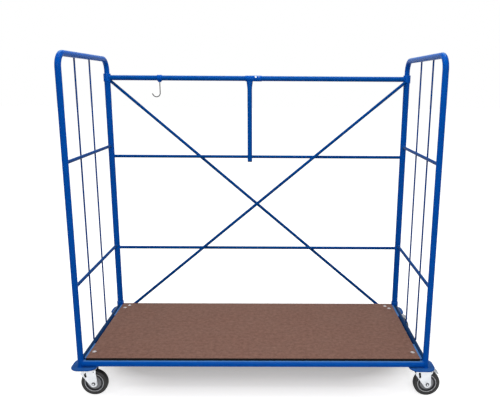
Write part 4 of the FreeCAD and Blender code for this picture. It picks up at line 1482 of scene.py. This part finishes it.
def casters():
    forks = {}
    for braked in (False, True):
        parts = [pressed_fork(braked), rolled_edge(-1), rolled_edge(1), swivel_race()]
        forks[braked] = joined("fork", parts)
    models = {"caster_plate": caster_plate(), "axle": axle_bolt(), "tyre": tyre(), "wheel_core": wheel_core()}
    pedal = brake_pedal()
    recess_edge_in = recess_in - recess_tone_in
    recess_edge_out = recess_out + recess_tone_out
    bolts = []
    for corner, (sx, sy) in CORNERS.items():
        place = middle(corner + "_caster_plate")
        shift = Vector((place.x, place.y, 0))
        braked = sx > 0
        fork = copy_of(forks[braked], corner + "_fork_press", shift)
        fit(fork, "zinc", corner + "_fork", corner + "_caster_fork")
        shade_fork_inside(fork, shift)
        bolt = copy_of(models["axle"], corner + "_axle_bolt", shift)
        fit(bolt, "zinc", corner + "_fork", corner + "_axle")
        # Painted shade: the nuts and washers round the axle ends are a dark grey.
        tone_ring(bolt, axle_ring_shade, shift, bolt_shank + axle_tone_in, washer_radius - axle_tone_out)
        plate = copy_of(models["caster_plate"], corner + "_top_plate", shift)
        fit(plate, "zinc", "frame", corner + "_caster_plate")
        tread = copy_of(models["tyre"], corner + "_tread", shift)
        fit(tread, "black_rubber", corner + "_wheel", corner + "_tyre")
        core = copy_of(models["wheel_core"], corner + "_hub", shift)
        fit(core, "grey_plastic", corner + "_wheel", corner + "_wheel_core")
        # Painted shade: the core's sunk web is a dark grey.
        tone_ring(core, recess_painted_shade, shift, recess_edge_in, recess_edge_out)
        # Painted highlight: the core's rim flange is a paler grey.
        tone_ring(core, rim_painted_highlight, shift, recess_edge_out, rim_radius)
        if braked:
            lever = copy_of(pedal, corner + "_pedal", shift)
            fit(lever, "pedal_plastic", corner + "_pedal", corner + "_brake_pedal")
        bolts += plate_bolts(shift)
    fit(joined("caster_plate_bolts", bolts), "zinc", "frame", "caster_bolts")
    for model in list(forks.values()) + list(models.values()) + [pedal]:
        bpy.data.objects.remove(model)


# Studio

floor_size = 60
floor_tone = (0.72, 0.72, 0.72, 1)
white = (1, 1, 1, 1)
# The floor's lift near the trolley and at the shade's edge; from there it grows to a full white. Kept low
# near the trolley, it leaves a painted shadow there round the cast one
shade_lift = 0.37
edge_lift = 0.69
shade_centre = (0.0, 0.2, 0.0)
shade_half_length = 0.4
shade_reach = 0.36
edge_reach = 0.52
white_reach = 1.1
ambient_strength = 0.25
lamp_target = (0, 0, 0.3)
left_bend = (-0.8, -0.3, 1.5)
right_bend = (0.8, -0.3, 1.5)


def looking_ray(tree):
    # One where the ray comes from the camera or from a mirror-like or clear surface.
    path = tree.nodes.new("ShaderNodeLightPath").outputs
    seen = path["Is Camera Ray"]
    for label in ("Is Glossy Ray", "Is Transmission Ray"):
        seen = reckon(tree, "MAXIMUM", seen, path[label])
    return seen


def floor_lift(tree):
    # The lift grows away from the trolley, so that the floor runs into the white background; where it stays
    # low near the trolley the floor is greyer, a painted shadow.
    reach = reckon_place(tree, "SUBTRACT", own_place(tree), shade_centre)
    reach = reckon_place(tree, "ABSOLUTE", reach)
    reach = reckon_place(tree, "SUBTRACT", reach, (shade_half_length, 0, 0))
    reach = reckon_place(tree, "MAXIMUM", reach, (0, 0, 0))
    away = reckon_place(tree, "LENGTH", reach)
    edge = spread(tree, away, shade_reach, edge_reach, shade_lift, edge_lift)
    far = spread(tree, away, edge_reach, white_reach, 0.0, 1.0 - edge_lift)
    return reckon(tree, "ADD", edge, far)


def studio_floor():
    let_go()
    bpy.ops.mesh.primitive_plane_add(size=floor_size, location=(0, 0, 0))
    floor = bpy.context.object
    floor.name = "studio_floor"
    material = bpy.data.materials.new("pale_floor")
    material.use_nodes = True
    tree = material.node_tree
    tree.nodes.clear()
    output = tree.nodes.new("ShaderNodeOutputMaterial")
    matt = tree.nodes.new("ShaderNodeBsdfDiffuse")
    matt.inputs["Color"].default_value = floor_tone
    lift = tree.nodes.new("ShaderNodeEmission")
    feed(tree, lift.inputs["Strength"], reckon(tree, "MULTIPLY", looking_ray(tree), floor_lift(tree)))
    both = tree.nodes.new("ShaderNodeAddShader")
    tree.links.new(matt.outputs["BSDF"], both.inputs[0])
    tree.links.new(lift.outputs["Emission"], both.inputs[1])
    tree.links.new(both.outputs["Shader"], output.inputs["Surface"])
    floor.data.materials.append(material)


def studio_world():
    world = bpy.context.scene.world or bpy.data.worlds.new("studio")
    bpy.context.scene.world = world
    world.use_nodes = True
    tree = world.node_tree
    tree.nodes.clear()
    output = tree.nodes.new("ShaderNodeOutputWorld")
    choice = tree.nodes.new("ShaderNodeMixShader")
    tree.links.new(looking_ray(tree), choice.inputs["Fac"])
    for entry, strength in ((1, ambient_strength), (2, 1.0)):
        light = tree.nodes.new("ShaderNodeBackground")
        light.inputs["Color"].default_value = white
        light.inputs["Strength"].default_value = strength
        tree.links.new(light.outputs["Background"], choice.inputs[entry])
    tree.links.new(choice.outputs["Shader"], output.inputs["Surface"])


def softbox(name, place, target, width, height, power):
    lamp = bpy.data.lights.new(name, "AREA")
    lamp.shape = "RECTANGLE"
    lamp.size = width
    lamp.size_y = height
    lamp.energy = power
    holder = bpy.data.objects.new(name, lamp)
    bpy.context.scene.collection.objects.link(holder)
    holder.location = place
    aim = Vector(target) - Vector(place)
    holder.rotation_euler = aim.to_track_quat("-Z", "Y").to_euler()
    holder.visible_camera = False


def photo_camera():
    # Found from the photo's straight edges: place, tilt, and how far its middle lies off the frame's middle.
    image_width, image_height = 500, 406
    focal_pixels = 536.8
    middle_x, middle_y = 278.15, 198.94
    camera_place = (0.0920, -2.6085, 1.4443)
    tilt_down, turn, roll = (math.radians(angle) for angle in (12.128, -0.451, -0.352))
    sight = bpy.data.cameras.new("photo_camera")
    sight.sensor_fit = "HORIZONTAL"
    sight.sensor_width = 36
    sight.lens = focal_pixels / image_width * sight.sensor_width
    sight.shift_x = (image_width / 2 - middle_x) / image_width
    sight.shift_y = (middle_y - image_height / 2) / image_width
    sight.clip_end = 200
    camera = bpy.data.objects.new("photo_camera", sight)
    bpy.context.scene.collection.objects.link(camera)
    level_to_view = Matrix.Rotation(turn, 4, "Z") @ Matrix.Rotation(-tilt_down, 4, "X")
    level_to_view = level_to_view @ Matrix.Rotation(roll, 4, "Y") @ Matrix.Rotation(math.radians(90), 4, "X")
    camera.matrix_world = Matrix.Translation(camera_place) @ level_to_view
    bpy.context.scene.camera = camera


# The trolley put together

slot_of_node = {part["node"]: part["material_slot"] for part in frame["record"]["subparts"]}
for node, piece in frame["nodes"].items():
    piece.data.materials.clear()
    piece.data.materials.append(finishes[slot_of_node[node]])

for side in ENDS:
    end_hoop(side)
    upright_rods(side)
    rear_sleeve(side)
    foot_collar(side)
    straight_bar(side + "_upper_rung", ALONG_Y, bar_shaded_coat)
    straight_bar(side + "_lower_rung", ALONG_Y, bar_shaded_coat)
    straight_bar(side + "_base_rail", ALONG_Y, side_rail_shaded_coat)
straight_bar("back_middle_rod", ALONG_X, bar_shaded_coat)
straight_bar("back_lower_rod", ALONG_X, bar_shaded_coat)
straight_bar("back_top_rail", ALONG_X, rail_shaded_coat)
straight_bar("front_base_rail", ALONG_X)
straight_bar("rear_base_rail", ALONG_X)
brace("falling_brace", -1)
brace("rising_brace", 1)
frame_welds()
deck_panel()
deck_bolts()
deck_bearers()
for corner in CORNERS:
    corner_plate(corner)
swinging_arm()
stop_collar()
hook_collar()
wire_hook()
casters()

studio_floor()
studio_world()
softbox("overhead_softbox", (0, -0.2, 3.0), lamp_target, width=3.0, height=1.0, power=38)
softbox("front_key", (0.3, -3.9, 2.7), lamp_target, width=2.2, height=1.0, power=64)
softbox("left_spot", (-2.9, -2.3, 3.4), left_bend, width=0.3, height=0.3, power=12)
softbox("right_spot", (2.9, -2.3, 3.4), right_bend, width=0.3, height=0.3, power=10)
photo_camera()
bpy.context.scene.view_settings.view_transform = "Standard"

bpy.context.view_layer.update()
